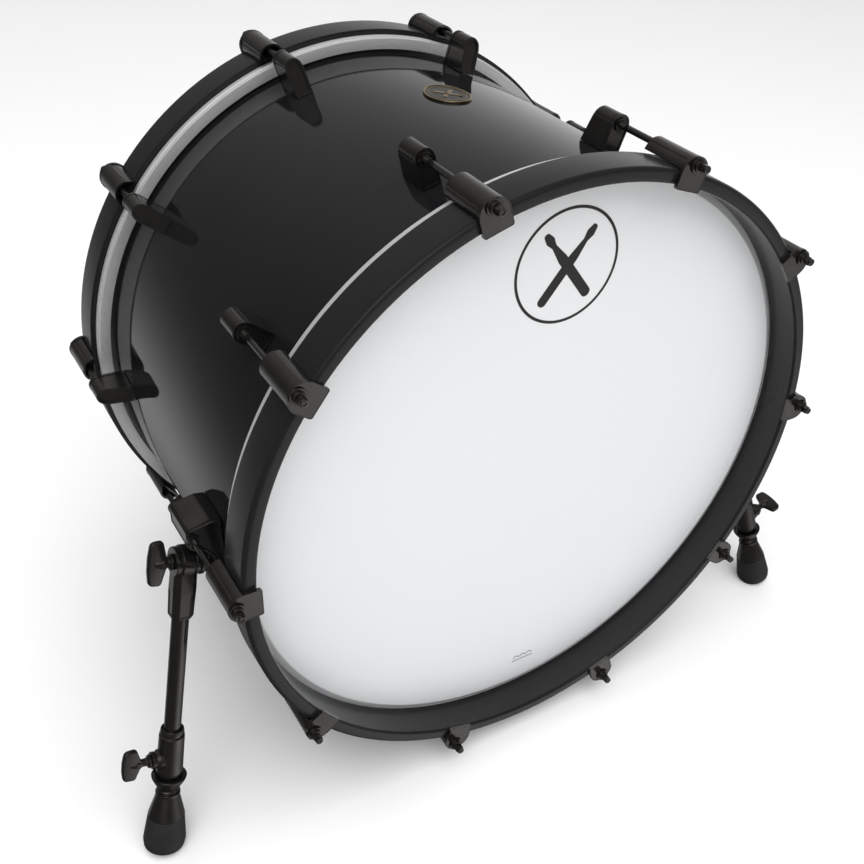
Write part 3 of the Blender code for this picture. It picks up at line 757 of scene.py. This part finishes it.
def flat_on_head(bm, across, up, turn=0.0):
    """Lays a flat shape, made in X and Z with its face towards -Y, on the front head."""
    lift = head_face() - 0.0002
    matrix = Matrix.Translation((across, lift, up)) @ Matrix.Rotation(turn, 4, "Y")
    return placed(bm, LAYOUT @ matrix)


def stick_outline(reach, butt, neck, tip):
    """A drumstick seen from the side, its butt at -reach and its tip at +reach."""
    taper = reach * 0.62
    right = [
        (butt, -reach, butt * 0.9),
        (butt, taper * 0.35, butt * 2.0),
        (neck, taper, neck),
        (neck, reach - 3.4 * tip, neck),
        (tip, reach - 1.8 * tip, tip * 0.6),
        (tip * 0.55, reach, tip * 0.5),
    ]
    left = [(-across, up, radius) for across, up, radius in reversed(right)]
    return rounded(right + left, 4)


def crossed_sticks(reach, butt, thickness, lean=38.0):
    """Two crossed drumsticks, flat in X and Z, their faces towards -Y."""
    sticks = []
    for side in (-1, 1):
        stick = extruded(stick_outline(reach, butt, butt * 0.52, butt * 0.95), 0.0, thickness)
        placed(stick, Matrix.Rotation(math.radians(lean * side), 4, "Y"))
        placed(stick, Matrix.Translation((0.0, thickness * 0.3 * side, 0.0)))
        sticks.append(stick)
    return joined(*sticks)


class MakeMarks(bpy.types.Operator):
    """Makes the ring with crossed sticks and the small emblem printed on the front head"""

    bl_idname = "drum.make_marks"
    bl_label = "Printed marks"

    def execute(self, context):
        sizes = drum()
        ink = 0.00012
        across, up = 0.007, 0.206
        outer = sizes.mark_radius
        inner = outer - sizes.mark_line
        section = [(outer, 0.0), (outer, -ink), (inner, -ink), (inner, 0.0)]
        ring = turned(section, 128, closed=True)
        placed(ring, Matrix.Rotation(math.pi / 2, 4, "X"))
        flat_on_head(ring, across, up)
        add_piece("head_mark_ring", ring, black_ink)
        sticks = flat_on_head(crossed_sticks(0.0400, 0.0046, ink), across, up)
        add_piece("head_mark_sticks", sticks, black_ink)
        add_piece("head_emblem", self.emblem(ink), grey_ink)
        return {"FINISHED"}

    def emblem(self, ink):
        """Three small waves over a thin bar."""
        bars = [extruded(rounded([(x, z, 0.0006) for x, z in self.bar(0.013, 0.0013)]), 0.0, ink)]
        for index in (-1, 0, 1):
            wave = extruded(arc(0.0, 0.0, 0.0040, -80, 80, 12) + arc(0.0, 0.0, 0.0026, 80, -80, 12), 0.0, ink)
            bars.append(placed(wave, Matrix.Translation((index * 0.0080, 0.0, 0.0022))))
        return flat_on_head(joined(*bars), 0.009, -0.252)

    def bar(self, half, height):
        return [(-half, -height), (half, -height), (half, 0.0), (-half, 0.0)]


class MakeBadge(bpy.types.Operator):
    """Makes the oval badge: a brass rim, a dark field and crossed sticks in relief"""

    bl_idname = "drum.make_badge"
    bl_label = "Badge"

    def execute(self, context):
        base = GAP
        steps = (0.0, 0.3, 0.6, 0.90)
        field = [(share, base + 0.0009) for share in steps]
        under = [(share, base) for share in reversed(steps)]
        self.add("badge_field", turned(field + under, 72), dark_enamel)
        rim = [(1.0, base), (1.0, base + 0.0011), (0.985, base + 0.0016), (0.93, base + 0.0016)]
        rim += [(0.90, base + 0.0011), (0.89, base)]
        self.add("badge_rim", turned(rim, 96, closed=True), aged_brass, ["badge"])
        inner = [(0.80, base + 0.0006), (0.80, base + 0.0012), (0.765, base + 0.0012), (0.765, base + 0.0006)]
        self.add("badge_border", turned(inner, 72, closed=True), aged_brass)
        sticks = crossed_sticks(0.58, 0.075, 0.0006, 52.0)
        placed(sticks, Matrix.Rotation(math.pi / 2, 4, "X"))
        bmesh.ops.translate(sticks, vec=(0.0, 0.0, base + 0.0006), verts=sticks.verts)
        self.add("badge_sticks", sticks, aged_brass)
        return {"FINISHED"}

    def add(self, name, bm, maker, nodes=()):
        """Stretches a unit disc to the badge's oval and bends it onto the shell."""
        sizes = drum()
        bmesh.ops.scale(bm, vec=(sizes.badge_across / 2, sizes.badge_along / 2, 1.0), verts=bm.verts)
        for vert in bm.verts:
            angle = vert.co.x / SHELL_RADIUS
            radius = SHELL_RADIUS + vert.co.z
            vert.co = (radius * math.sin(angle), vert.co.y, radius * math.cos(angle))
        bmesh.ops.recalc_face_normals(bm, faces=bm.faces)
        turn = Matrix.Rotation(math.radians(3.0), 4, "Y")
        placed(bm, LAYOUT @ Matrix.Translation((0.0, sizes.badge_setback, 0.0)) @ turn)
        add_piece(name, bm, maker, nodes=nodes)


# ---------------------------------------------------------------- lugs, claws and tension rods


def lug_setback(rear):
    return hardware().rear_setback if rear else hardware().front_setback


def rod_height():
    """The tension rod's axis above the shell."""
    return HOOP_RADIUS + hardware().rod_standoff - SHELL_RADIUS


def swivel_nut(height, radius):
    """The ringed nut that a tension rod screws into, its face towards -Y."""
    corners = [
        (radius, 0.004, 0.0),
        (radius, -0.0008, 0.0005),
        (radius * 0.80, -0.0008, 0.0002),
        (radius * 0.76, -0.0002, 0.0002),
        (radius * 0.66, -0.0002, 0.0002),
        (radius * 0.60, -0.0012, 0.0003),
        (hardware().rod_radius + 0.0001, -0.0012, 0.0),
        (hardware().rod_radius + 0.0001, 0.004, 0.0),
    ]
    nut = turned([(across, -up) for across, up in rounded(corners, 2)], 32, closed=True)
    return placed(nut, Matrix.Translation((0.0, 0.0, height)) @ Matrix.Rotation(math.pi / 2, 4, "X"))


def lug_section(half, height, base):
    """A lug's section: straight sides, a fine ledge and a round top."""
    ledge = 0.0004
    left = [Vector((-half + 0.0009, base)), Vector((-half, height - 0.0006))]
    left.append(Vector((-half + ledge, height - 0.0002)))
    top = arc(0.0, height, half - ledge, -88, 88, 20)
    right = [Vector((-point.x, point.y)) for point in reversed(left)]
    return left + top + right


def lug():
    """A lug in its own frame: Z out from the shell, its face at y = 0 towards the rod's claw."""
    sizes = hardware()
    height = rod_height()
    half = sizes.lug_width / 2
    band = 0.0034
    slope = Vector((0.0, height + half, sizes.lug_length - sizes.lug_top)).normalized()
    body = extruded(lug_section(half - 0.0003, height, GAP), band + 0.0007, sizes.lug_length)
    cut = bmesh.ops.bisect_plane(
        body,
        geom=body.verts[:] + body.edges[:] + body.faces[:],
        plane_co=(0.0, sizes.lug_length, GAP),
        plane_no=slope,
        clear_outer=True,
    )
    rim = [part for part in cut["geom_cut"] if isinstance(part, bmesh.types.BMEdge)]
    bmesh.ops.holes_fill(body, edges=rim)
    bmesh.ops.recalc_face_normals(body, faces=body.faces)
    end = facing(body, slope)
    sink(body, end, 0.0024, 0.0016)
    soften(body, 0.0005, 2, 34.0)
    core = extruded(lug_section(half - 0.0011, height, GAP), band - 0.0004, band + 0.0012)
    collar = extruded(lug_section(half, height, GAP), 0.0, band)
    face = facing(collar, (0.0, -1.0, 0.0))
    sink(collar, face, 0.0015, 0.0010)
    soften(collar, 0.0004, 2, 34.0)
    return joined(body, core, collar, swivel_nut(height, half * 0.66))


class MakeLugs(bpy.types.Operator):
    """Makes the lugs round both ends of the shell"""

    bl_idname = "drum.make_lugs"
    bl_label = "Lugs"

    def execute(self, context):
        for prefix, rear in FRONT_AND_REAR:
            for number, angle in enumerate(LUG_ANGLES, 1):
                if abs(angle) == SPUR_ANGLE and not rear:
                    continue
                node = f"{prefix}_lug_{number:02d}"
                body = placed(lug(), round_matrix(angle, rear, SHELL_RADIUS, lug_setback(rear)))
                add_piece(f"{node}_cast", body, black_nickel, nodes=[node], flat_sides=True)
        return {"FINISHED"}


def claw():
    """A claw in its own frame: Z out from the drum's axis, y = 0 at the hoop's edge."""
    sizes = hardware()
    half = sizes.claw_width / 2
    seat = HOOP_RADIUS + GAP + 0.0004
    front = -(GAP + sizes.claw_plate)
    back = drum().hoop_depth + sizes.claw_reach
    lean = math.degrees(math.acos((seat - HOOP_RADIUS) / half))
    section = arc(0.0, HOOP_RADIUS, half - 0.0008, -lean, -50, 8)
    section += arc(0.0, HOOP_RADIUS, half - 0.0003, -47, 47, 18)
    section += arc(0.0, HOOP_RADIUS, half - 0.0008, 50, lean, 8)
    body = extruded(section, -GAP, back)
    mouth = facing(body, (0.0, 1.0, 0.0))
    sink(body, mouth, 0.0020, 0.0120)
    soften(body, 0.0006, 2, 34.0)
    hook = HOOP_RADIUS - drum().hoop_wall - sizes.claw_hook
    foot = half * 0.97
    outline = arc(0.0, HOOP_RADIUS, half, -90, 90, 28)
    outline += [Vector((foot + 0.0001, hook + 0.0014)), Vector((foot - 0.0012, hook))]
    outline += [Vector((-foot + 0.0012, hook)), Vector((-foot - 0.0001, hook + 0.0014))]
    plate = extruded(outline, front, -GAP)
    face = facing(plate, (0.0, -1.0, 0.0))
    sink(plate, face, 0.0007, 0.0003)
    soften(plate, 0.0007, 3, 34.0)
    return joined(body, plate)


def key_head(front):
    """A washer, a flange and the square head that a drum key turns, at height 0 along -Y."""
    corners = [
        (0.0, 0.0, 0.0),
        (0.0070, 0.0, 0.0),
        (0.0070, 0.0015, 0.0005),
        (0.0052, 0.0015, 0.0002),
        (0.0052, 0.0034, 0.0006),
        (0.0040, 0.0038, 0.0003),
        (0.0, 0.0038, 0.0),
    ]
    washer = turned(rounded(corners, 3, closed=False), 32)
    placed(washer, Matrix.Rotation(math.pi / 2, 4, "X"))
    side = 0.0031
    corners = [(-side, -side, 0.0008), (side, -side, 0.0008), (side, side, 0.0008), (-side, side, 0.0008)]
    square = extruded(rounded(corners, 3), -0.0092, -0.0030)
    soften(square, 0.0007, 2, 60.0)
    corners = [
        (0.0, 0.0088, 0.0),
        (0.0033, 0.0088, 0.0003),
        (0.0034, 0.0112, 0.0006),
        (0.0016, 0.0114, 0.0003),
        (0.0012, 0.0104, 0.0002),
        (0.0, 0.0104, 0.0),
    ]
    tip = turned(rounded(corners, 3, closed=False), 24)
    placed(tip, Matrix.Rotation(math.pi / 2, 4, "X"))
    whole = joined(washer, square, tip)
    return placed(whole, Matrix.Translation((0.0, front, HOOP_RADIUS + hardware().rod_standoff)))


def tension_rod(front, setback):
    """A rod from the claw into the lug, threaded where it enters the lug."""
    sizes = hardware()
    radius = sizes.rod_radius
    tip = setback + sizes.rod_in_lug
    thread = setback - 0.0070
    pitch = 0.0008
    turns = int((tip - thread) / pitch)
    profile = [(0.0, front), (radius, front), (radius, thread - pitch)]
    for step in range(turns):
        along = thread + step * pitch
        profile += [(radius - 0.00028, along), (radius - 0.00002, along + pitch * 0.5)]
    profile += [(radius * 0.8, tip), (0.0, tip)]
    bm = turned([(across, -along) for across, along in profile], 20)
    height = HOOP_RADIUS + sizes.rod_standoff
    return placed(bm, Matrix.Translation((0.0, 0.0, height)) @ Matrix.Rotation(math.pi / 2, 4, "X"))


class MakeClaws(bpy.types.Operator):
    """Makes the claws over both hoops with their tension rods"""

    bl_idname = "drum.make_claws"
    bl_label = "Claws and rods"

    def execute(self, context):
        sizes = hardware()
        front = -(GAP + sizes.claw_plate)
        for prefix, rear in FRONT_AND_REAR:
            for number, angle in enumerate(LUG_ANGLES, 1):
                on_spur = abs(angle) == SPUR_ANGLE and not rear
                place = round_matrix(angle, rear)
                node = f"{prefix}_claw_{number:02d}"
                body = placed(joined(claw(), key_head(front)), place)
                add_piece(f"{node}_cast", body, black_nickel, nodes=[node], flat_sides=True)
                reach = sizes.bracket_setback if on_spur else lug_setback(rear)
                bolt = placed(tension_rod(front, reach), place)
                add_piece(f"{prefix}_rod_{number:02d}", bolt, black_nickel)
        return {"FINISHED"}


# ---------------------------------------------------------------- spurs


def bracket():
    """The right casting, a lug and the spur's pivot in one, in the drum's own layout."""
    sizes = hardware()
    inner = SHELL_RADIUS + GAP + 0.0001
    outer = SHELL_RADIUS + sizes.bracket_height
    half = sizes.bracket_width / 2
    top_angle = 90 - math.degrees(math.asin((half + 0.001) / inner))
    outline = arc(0.0, 0.0, inner, top_angle, 104, 14)
    outline += arc(0.0, 0.0, inner + 0.011, 104, 95, 5)
    outline += [Vector(point) for point in ((outer - 0.012, -half - 0.003), (outer - 0.004, -half))]
    outline += [Vector((outer, -half + 0.004)), Vector((outer, half - 0.004))]
    outline += [Vector((outer - 0.0026, half - 0.0004)), Vector((outer - 0.0214, half + 0.0028))]
    step = 0.0030
    low = sizes.bracket_setback
    block = extruded(outline, low + step, low + sizes.bracket_length)
    sink(block, facing(block, (0.17, 0.0, 1.0)), 0.0015, 0.0004)
    sink(block, facing(block, (1.0, 0.0, 0.0)), 0.0015, 0.0004)
    face = facing(block, (0.0, -1.0, 0.0))
    nose = sink(block, face, 0.0009, -step)
    sink(block, nose, 0.0019, 0.0012)
    soften(block, 0.0006, 3, 36.0)
    nut = placed(swivel_nut(0.0, 0.0052), Matrix.Translation((HOOP_RADIUS + sizes.rod_standoff, low, 0.0)))
    return placed(joined(block, nut), LAYOUT)


def ear():
    """The boss the knuckle turns against, in the spur's own frame."""
    sizes = hardware()
    face = -(sizes.knuckle_half + GAP)
    corners = [
        (0.0, face, 0.0),
        (0.0135, face, 0.0008),
        (0.0135, face - 0.0035, 0.0008),
        (0.0112, face - 0.0042, 0.0004),
        (0.0112, face - 0.0055, 0.0004),
        (0.0122, face - 0.0062, 0.0006),
        (0.0122, face - 0.0095, 0.0010),
        (0.0100, face - 0.0120, 0.0010),
        (0.0100, face - 0.0165, 0.0),
        (0.0, face - 0.0165, 0.0),
    ]
    boss = turned(rounded(corners, 3, closed=False), 48)
    return placed(boss, Matrix.Rotation(math.pi / 2, 4, "Y"))


def knuckle():
    """The eye of the leg, ringed by two grooves."""
    sizes = hardware()
    wide = sizes.knuckle_half
    radius = sizes.knuckle_radius + 0.0008
    corners = [(0.0, -wide, 0.0)]
    for low, high, share in ((-1.0, -0.60, 0.93), (-0.48, 0.48, 1.0), (0.60, 1.0, 0.93)):
        corners.append((radius * share, wide * low, 0.0007))
        corners.append((radius * share, wide * high, 0.0007))
        if high < 1.0:
            corners.append((radius * 0.86, wide * high, 0.0002))
            corners.append((radius * 0.86, wide * (high + 0.12), 0.0002))
    corners.append((0.0, wide, 0.0))
    eye = turned(rounded(corners, 3, closed=False), 64)
    return placed(eye, Matrix.Rotation(math.pi / 2, 4, "Y"))


def socket():
    """The eight-sided socket that narrows towards the tube, with a shield cut in its face."""
    length_down = hardware().socket_length
    levels = ((-0.003, 0.0100), (-0.0265, 0.0104), (-length_down + 0.0015, 0.0097), (-length_down, 0.0090))
    bm = bmesh.new()
    rings = []
    for height, half in levels:
        cut = half * 0.52
        outline = [(half, cut), (cut, half), (-cut, half), (-half, cut)]
        outline += [(-x, -y) for x, y in outline]
        rings.append([bm.verts.new((x, y, height)) for x, y in outline])
    loops = [[bm.edges.new((a, b)) for a, b in zip(ring, ring[1:] + ring[:1])] for ring in rings]
    for upper, lower in zip(loops, loops[1:]):
        bmesh.ops.bridge_loops(bm, edges=upper + lower)
    bm.faces.new(rings[0])
    bm.faces.new(rings[-1])
    bmesh.ops.recalc_face_normals(bm, faces=bm.faces)
    for direction in ((1.0, 0.0, 0.0), (-1.0, 0.0, 0.0), (0.0, 1.0, 0.0), (0.0, -1.0, 0.0)):
        sink(bm, facing(bm, direction), 0.0009, 0.0007)
    soften(bm, 0.0005, 2, 20.0)
    rim = 0.0086
    upper = -length_down + 0.001
    lower = -length_down - 0.0012
    corners = [(0.0, upper, 0.0), (rim, upper, 0.0003), (rim, lower, 0.0005), (0.0, lower, 0.0)]
    return joined(bm, turned(rounded(corners, 3, closed=False), 40))


def tube_and_collar():
    """The leg's tube and the clamp collar at its lower end, with the clamp's boss."""
    sizes = hardware()
    top = -sizes.collar_top
    low = top - sizes.collar_length
    radius = sizes.collar_radius
    tube = rod(sizes.tube_radius, (0.0, 0.0, -sizes.socket_length + 0.004), (0.0, 0.0, top - 0.01), 48)
    boss_height = top - sizes.boss_drop
    corners = [
        (0.0, top, 0.0),
        (radius * 0.86, top, 0.0008),
        (radius * 0.92, top - 0.0040, 0.0006),
        (radius * 0.84, top - 0.0046, 0.0004),
        (radius * 0.84, top - 0.0062, 0.0004),
        (radius * 0.97, top - 0.0072, 0.0008),
        (radius * 1.02, low + 0.0046, 0.0005),
        (radius * 0.97, low + 0.0036, 0.0004),
        (radius * 0.97, low, 0.0010),
        (sizes.inner_rod + 0.0006, low, 0.0003),
        (sizes.inner_rod + 0.0006, low + 0.004, 0.0),
        (0.0, low + 0.004, 0.0),
    ]
    collar = turned(rounded(corners, 3, closed=False), 56)
    reach = sizes.boss_reach
    corners = [
        (0.0, 0.004, 0.0),
        (0.0098, 0.004, 0.0),
        (0.0088, radius, 0.0012),
        (0.0070, reach - 0.0035, 0.0010),
        (0.0078, reach - 0.0030, 0.0004),
        (0.0078, reach, 0.0006),
        (0.0, reach, 0.0),
    ]
    boss = turned(rounded(corners, 3, closed=False), 40)
    boss = placed(boss, Matrix.Translation((0.0, 0.0, boss_height)) @ Matrix.Rotation(math.pi / 2, 4, "Y"))
    return joined(tube, collar, boss)


def wing_outline(start, span, length_out):
    """Half of the wings' outline, from the stalk out to the middle of the far edge."""
    return [
        (start - 0.0008, 0.0030, 0.0),
        (start + 0.0012, 0.0054, 0.0022),
        (start + 0.0050, span, 0.0034),
        (start + length_out * 0.98, span * 0.95, 0.0046),
        (start + length_out * 1.08, span * 0.30, 0.0150),
        (start + length_out * 1.08, 0.0, 0.0),
    ]


def wing_bolt(shoulder, span, stalk, shank_radius):
    """A wing bolt along +X with pillowed wings."""
    sizes = hardware()
    start = shoulder + stalk
    half = wing_outline(start, span, sizes.wing_length)
    corners = half + [(x, -z, radius) for x, z, radius in reversed(half[:-1])]
    wings = extruded(rounded(corners, 5), -0.0027, 0.0027)
    soften(wings, 0.0017, 4, 60.0)
    corners = [
        (0.0, shoulder, 0.0),
        (shank_radius + 0.0030, shoulder, 0.0006),
        (shank_radius + 0.0030, shoulder + 0.0024, 0.0006),
        (shank_radius + 0.0008, shoulder + 0.0034, 0.0005),
        (shank_radius + 0.0004, start, 0.0010),
        (shank_radius + 0.0014, start + 0.0040, 0.0014),
        (shank_radius * 0.9, start + 0.0110, 0.0012),
        (0.0, start + 0.0125, 0.0),
    ]
    stalk_turned = turned(rounded(corners, 3, closed=False), 32)
    placed(stalk_turned, Matrix.Rotation(math.pi / 2, 4, "Y"))
    return joined(wings, stalk_turned)


def sliding_rod():
    """The inner rod with its dished stop flange, waisted neck and cone."""
    sizes = hardware()
    top = -(sizes.collar_top + sizes.collar_length + GAP)
    flange = sizes.flange_radius
    cone_top = top - sizes.flange_thickness - sizes.neck_length
    cone_low = cone_top - sizes.cone_length
    corners = [
        (0.0, -sizes.inner_top, 0.0),
        (sizes.inner_rod, -sizes.inner_top, 0.0006),
        (sizes.inner_rod, top - 0.0012, 0.0),
        (flange * 0.80, top - 0.0014, 0.0010),
        (flange * 0.90, top, 0.0005),
        (flange, top - 0.0006, 0.0008),
        (flange * 0.95, top - 0.0036, 0.0030),
        (0.0104, top - 0.0125, 0.0022),
        (0.0090, top - 0.0143, 0.0007),
        (0.0101, top - 0.0158, 0.0007),
        (0.0090, cone_top + 0.0014, 0.0004),
        (0.0112, cone_top + 0.0008, 0.0006),
        (0.0112, cone_top - 0.0012, 0.0006),
        (0.0104, cone_top - 0.0018, 0.0003),
        (sizes.cone_radius, cone_low, 0.0004),
        (sizes.cone_radius - 0.0030, cone_low, 0.0),
        (0.0, cone_low, 0.0),
    ]
    return turned(rounded(corners, 4, closed=False), 64)


def rubber_foot():
    """The rubber, cut flat where it meets the floor."""
    sizes = hardware()
    top = -(sizes.collar_top + sizes.collar_length + sizes.flange_thickness + sizes.neck_length)
    top -= sizes.cone_length + 2 * GAP
    low = top - sizes.rubber_length
    radius = sizes.rubber_radius
    corners = [
        (0.0, top, 0.0),
        (sizes.cone_radius - 0.0002, top, 0.0007),
        (radius, low + 0.0130, 0.0060),
        (radius * 0.94, low + 0.0055, 0.0050),
        (radius * 0.60, low + 0.0004, 0.0040),
        (0.0, low, 0.0),
    ]
    foot = turned(rounded(corners, 8, closed=False), 72)
    placed(foot, spur_matrix())
    cut = bmesh.ops.bisect_plane(
        foot,
        geom=foot.verts[:] + foot.edges[:] + foot.faces[:],
        plane_co=(0.0, 0.0, 0.0),
        plane_no=(0.0, 0.0, -1.0),
        clear_outer=True,
    )
    rim = [part for part in cut["geom_cut"] if isinstance(part, bmesh.types.BMEdge)]
    bmesh.ops.holes_fill(foot, edges=rim)
    bmesh.ops.recalc_face_normals(foot, faces=foot.faces)
    return foot


class MakeSpurs(bpy.types.Operator):
    """Makes both spurs: bracket, leg, sliding rod and rubber foot"""

    bl_idname = "drum.make_spurs"
    bl_label = "Spurs"

    def execute(self, context):
        for side in SIDES:
            casting = joined(bracket(), placed(ear(), spur_matrix()))
            self.add(side, "spur_bracket", casting, "drum")
            leg = placed(joined(knuckle(), socket(), tube_and_collar()), spur_matrix())
            self.add(side, "spur_leg", leg, f"{side}_spur_leg")
            self.add(side, "spur_rod", placed(sliding_rod(), spur_matrix()), f"{side}_spur_extension")
            add_piece(
                f"{side}_spur_foot_moulded",
                for_side(rubber_foot(), side),
                black_rubber,
                f"{side}_spur_extension",
                [f"{side}_spur_foot"],
            )
        return {"FINISHED"}

    def add(self, side, node, bm, body):
        name = f"{side}_{node}"
        add_piece(
            f"{name}_plated",
            for_side(bm, side),
            black_nickel,
            body,
            [name],
            flat_sides=True,
        )


class MakeWingBolts(bpy.types.Operator):
    """Makes the wing bolts that clamp the spurs' pivots and heights"""

    bl_idname = "drum.make_wing_bolts"
    bl_label = "Wing bolts"

    def execute(self, context):
        sizes = hardware()
        for side in SIDES:
            pivot = wing_bolt(sizes.knuckle_half + GAP, sizes.wing_span, sizes.wing_stalk, 0.0040)
            self.add(side, "pivot", placed(pivot, spur_matrix()))
            height = wing_bolt(sizes.boss_reach + GAP, sizes.small_span, sizes.small_stalk, 0.0030)
            if side == "right":
                placed(height, Matrix.Rotation(sizes.right_bolt_turn, 4, "X"))
            drop = Matrix.Translation((0.0, 0.0, -(sizes.collar_top + sizes.boss_drop)))
            self.add(side, "height", placed(height, spur_matrix() @ drop))
        return {"FINISHED"}

    def add(self, side, purpose, bm):
        node = f"{side}_spur_{purpose}_wing_bolt"
        add_piece(
            f"{node}_plated",
            for_side(bm, side),
            black_nickel,
            f"{side}_{purpose}_wing_bolt",
            [node],
        )


# ---------------------------------------------------------------- studio


ROOM_DIM = 0.07
# Where the room glows: a direction, how strongly and how tightly.
ROOM_GLOWS = (
    ((0.80, 0.60, 0.02), 0.75, 5.0),
    ((-0.32, 0.79, -0.52), 0.5, 20.0),
    ((0.46, -0.66, -0.59), 0.8, 8.0),
    ((-0.35, -0.60, 0.75), 1.0, 10.0),
    ((0.0, 0.75, 0.66), 0.2, 6.0),
)


class MakeStudio(bpy.types.Operator):
    """Makes the floor, the lights and the camera"""

    bl_idname = "drum.make_studio"
    bl_label = "Studio"

    def execute(self, context):
        self.floor()
        self.world()
        self.light("overhead", (-0.3, -1.1, 3.2), (0.0, -0.3, 0.0), (4.4, 3.6), 105.0)
        self.sky()
        self.camera()
        return {"FINISHED"}

    def floor(self):
        bm = bmesh.new()
        bmesh.ops.create_grid(bm, x_segments=8, y_segments=8, size=14.0)
        mesh = bpy.data.meshes.new("studio_floor")
        bm.to_mesh(mesh)
        bm.free()
        mesh.materials.append(finish(studio_floor))
        plane = bpy.data.objects.new("studio_floor", mesh)
        bpy.context.scene.collection.objects.link(plane)
        plane.visible_glossy = False

    def world(self):
        """A dim room with soft glows where the bounce cards stand."""
        world = bpy.data.worlds.new("studio")
        world.use_nodes = True
        graph = Graph(world.node_tree)
        looking = graph.node("ShaderNodeTexCoord").outputs["Generated"]
        glow = ROOM_DIM
        for direction, strength, tightness in ROOM_GLOWS:
            facing_card = graph.dot(looking, Vector(direction).normalized())
            glow = facing_card.maths("MAXIMUM", facing_card, 0.0) ** tightness * strength + glow
        seen = Number(graph, graph.node("ShaderNodeLightPath").outputs["Is Camera Ray"])
        background = world.node_tree.nodes["Background"]
        background.inputs["Color"].default_value = (1.0, 1.0, 1.0, 1.0)
        graph.feed(background.inputs["Strength"], (1 - seen) * glow + seen)
        bpy.context.scene.world = world
        bpy.context.scene.view_settings.view_transform = "Standard"

    def light(self, name, place, target, size, power):
        data = bpy.data.lights.new(name, "AREA")
        data.shape = "RECTANGLE"
        data.size, data.size_y = size
        data.energy = power
        lamp = bpy.data.objects.new(name, data)
        lamp.location = place
        aim = Vector(target) - Vector(place)
        lamp.rotation_euler = aim.to_track_quat("-Z", "Y").to_euler()
        lamp.visible_glossy = False
        bpy.context.scene.collection.objects.link(lamp)

    def sky(self):
        """Even, very soft light from above, so that the floor stays pale all round."""
        data = bpy.data.lights.new("sky", "SUN")
        data.energy = 1.4
        data.angle = math.radians(150.0)
        lamp = bpy.data.objects.new("sky", data)
        bpy.context.scene.collection.objects.link(lamp)
        lamp.visible_glossy = False

    def camera(self):
        studio = bpy.context.scene.drum_studio
        data = bpy.data.cameras.new("camera")
        data.lens = studio.lens
        data.sensor_width = 36.0
        data.shift_x = studio.shift_x
        data.shift_y = studio.shift_y
        camera = bpy.data.objects.new("camera", data)
        turn = Euler(studio.camera_turn).to_matrix().to_4x4()
        camera.matrix_world = LAYOUT @ Matrix.Translation(studio.camera_place) @ turn
        bpy.context.scene.collection.objects.link(camera)
        bpy.context.scene.camera = camera


MAKERS = (
    MakeShell,
    MakeHoops,
    MakeHeads,
    MakeMarks,
    MakeBadge,
    MakeLugs,
    MakeClaws,
    MakeSpurs,
    MakeWingBolts,
    MakeStudio,
)


class DRUM_PT_pieces(bpy.types.Panel):
    """Lists the drum's pieces in the sidebar"""

    bl_label = "Bass drum"
    bl_idname = "DRUM_PT_pieces"
    bl_space_type = "VIEW_3D"
    bl_region_type = "UI"
    bl_category = "Bass drum"

    def draw(self, context):
        for maker in MAKERS:
            self.layout.operator(maker.bl_idname)
        for group in GROUPS:
            settings = getattr(context.scene, group)
            box = self.layout.box()
            for name in settings.__annotations__:
                box.prop(settings, name)


GROUPS = {
    "drum_sizes": DrumSizes,
    "drum_hardware": HardwareSizes,
    "drum_finishes": Finishes,
    "drum_studio": StudioSettings,
}
CLASSES = (*GROUPS.values(), *MAKERS, DRUM_PT_pieces)


def register():
    for cls in CLASSES:
        bpy.utils.register_class(cls)
    for name, group in GROUPS.items():
        setattr(bpy.types.Scene, name, bpy.props.PointerProperty(type=group))


def unregister():
    for name in GROUPS:
        delattr(bpy.types.Scene, name)
    for cls in reversed(CLASSES):
        bpy.utils.unregister_class(cls)


def main():
    register()
    for maker in MAKERS:
        group, operator = maker.bl_idname.split(".")
        getattr(getattr(bpy.ops, group), operator)()


if __name__ == "__main__":
    main()
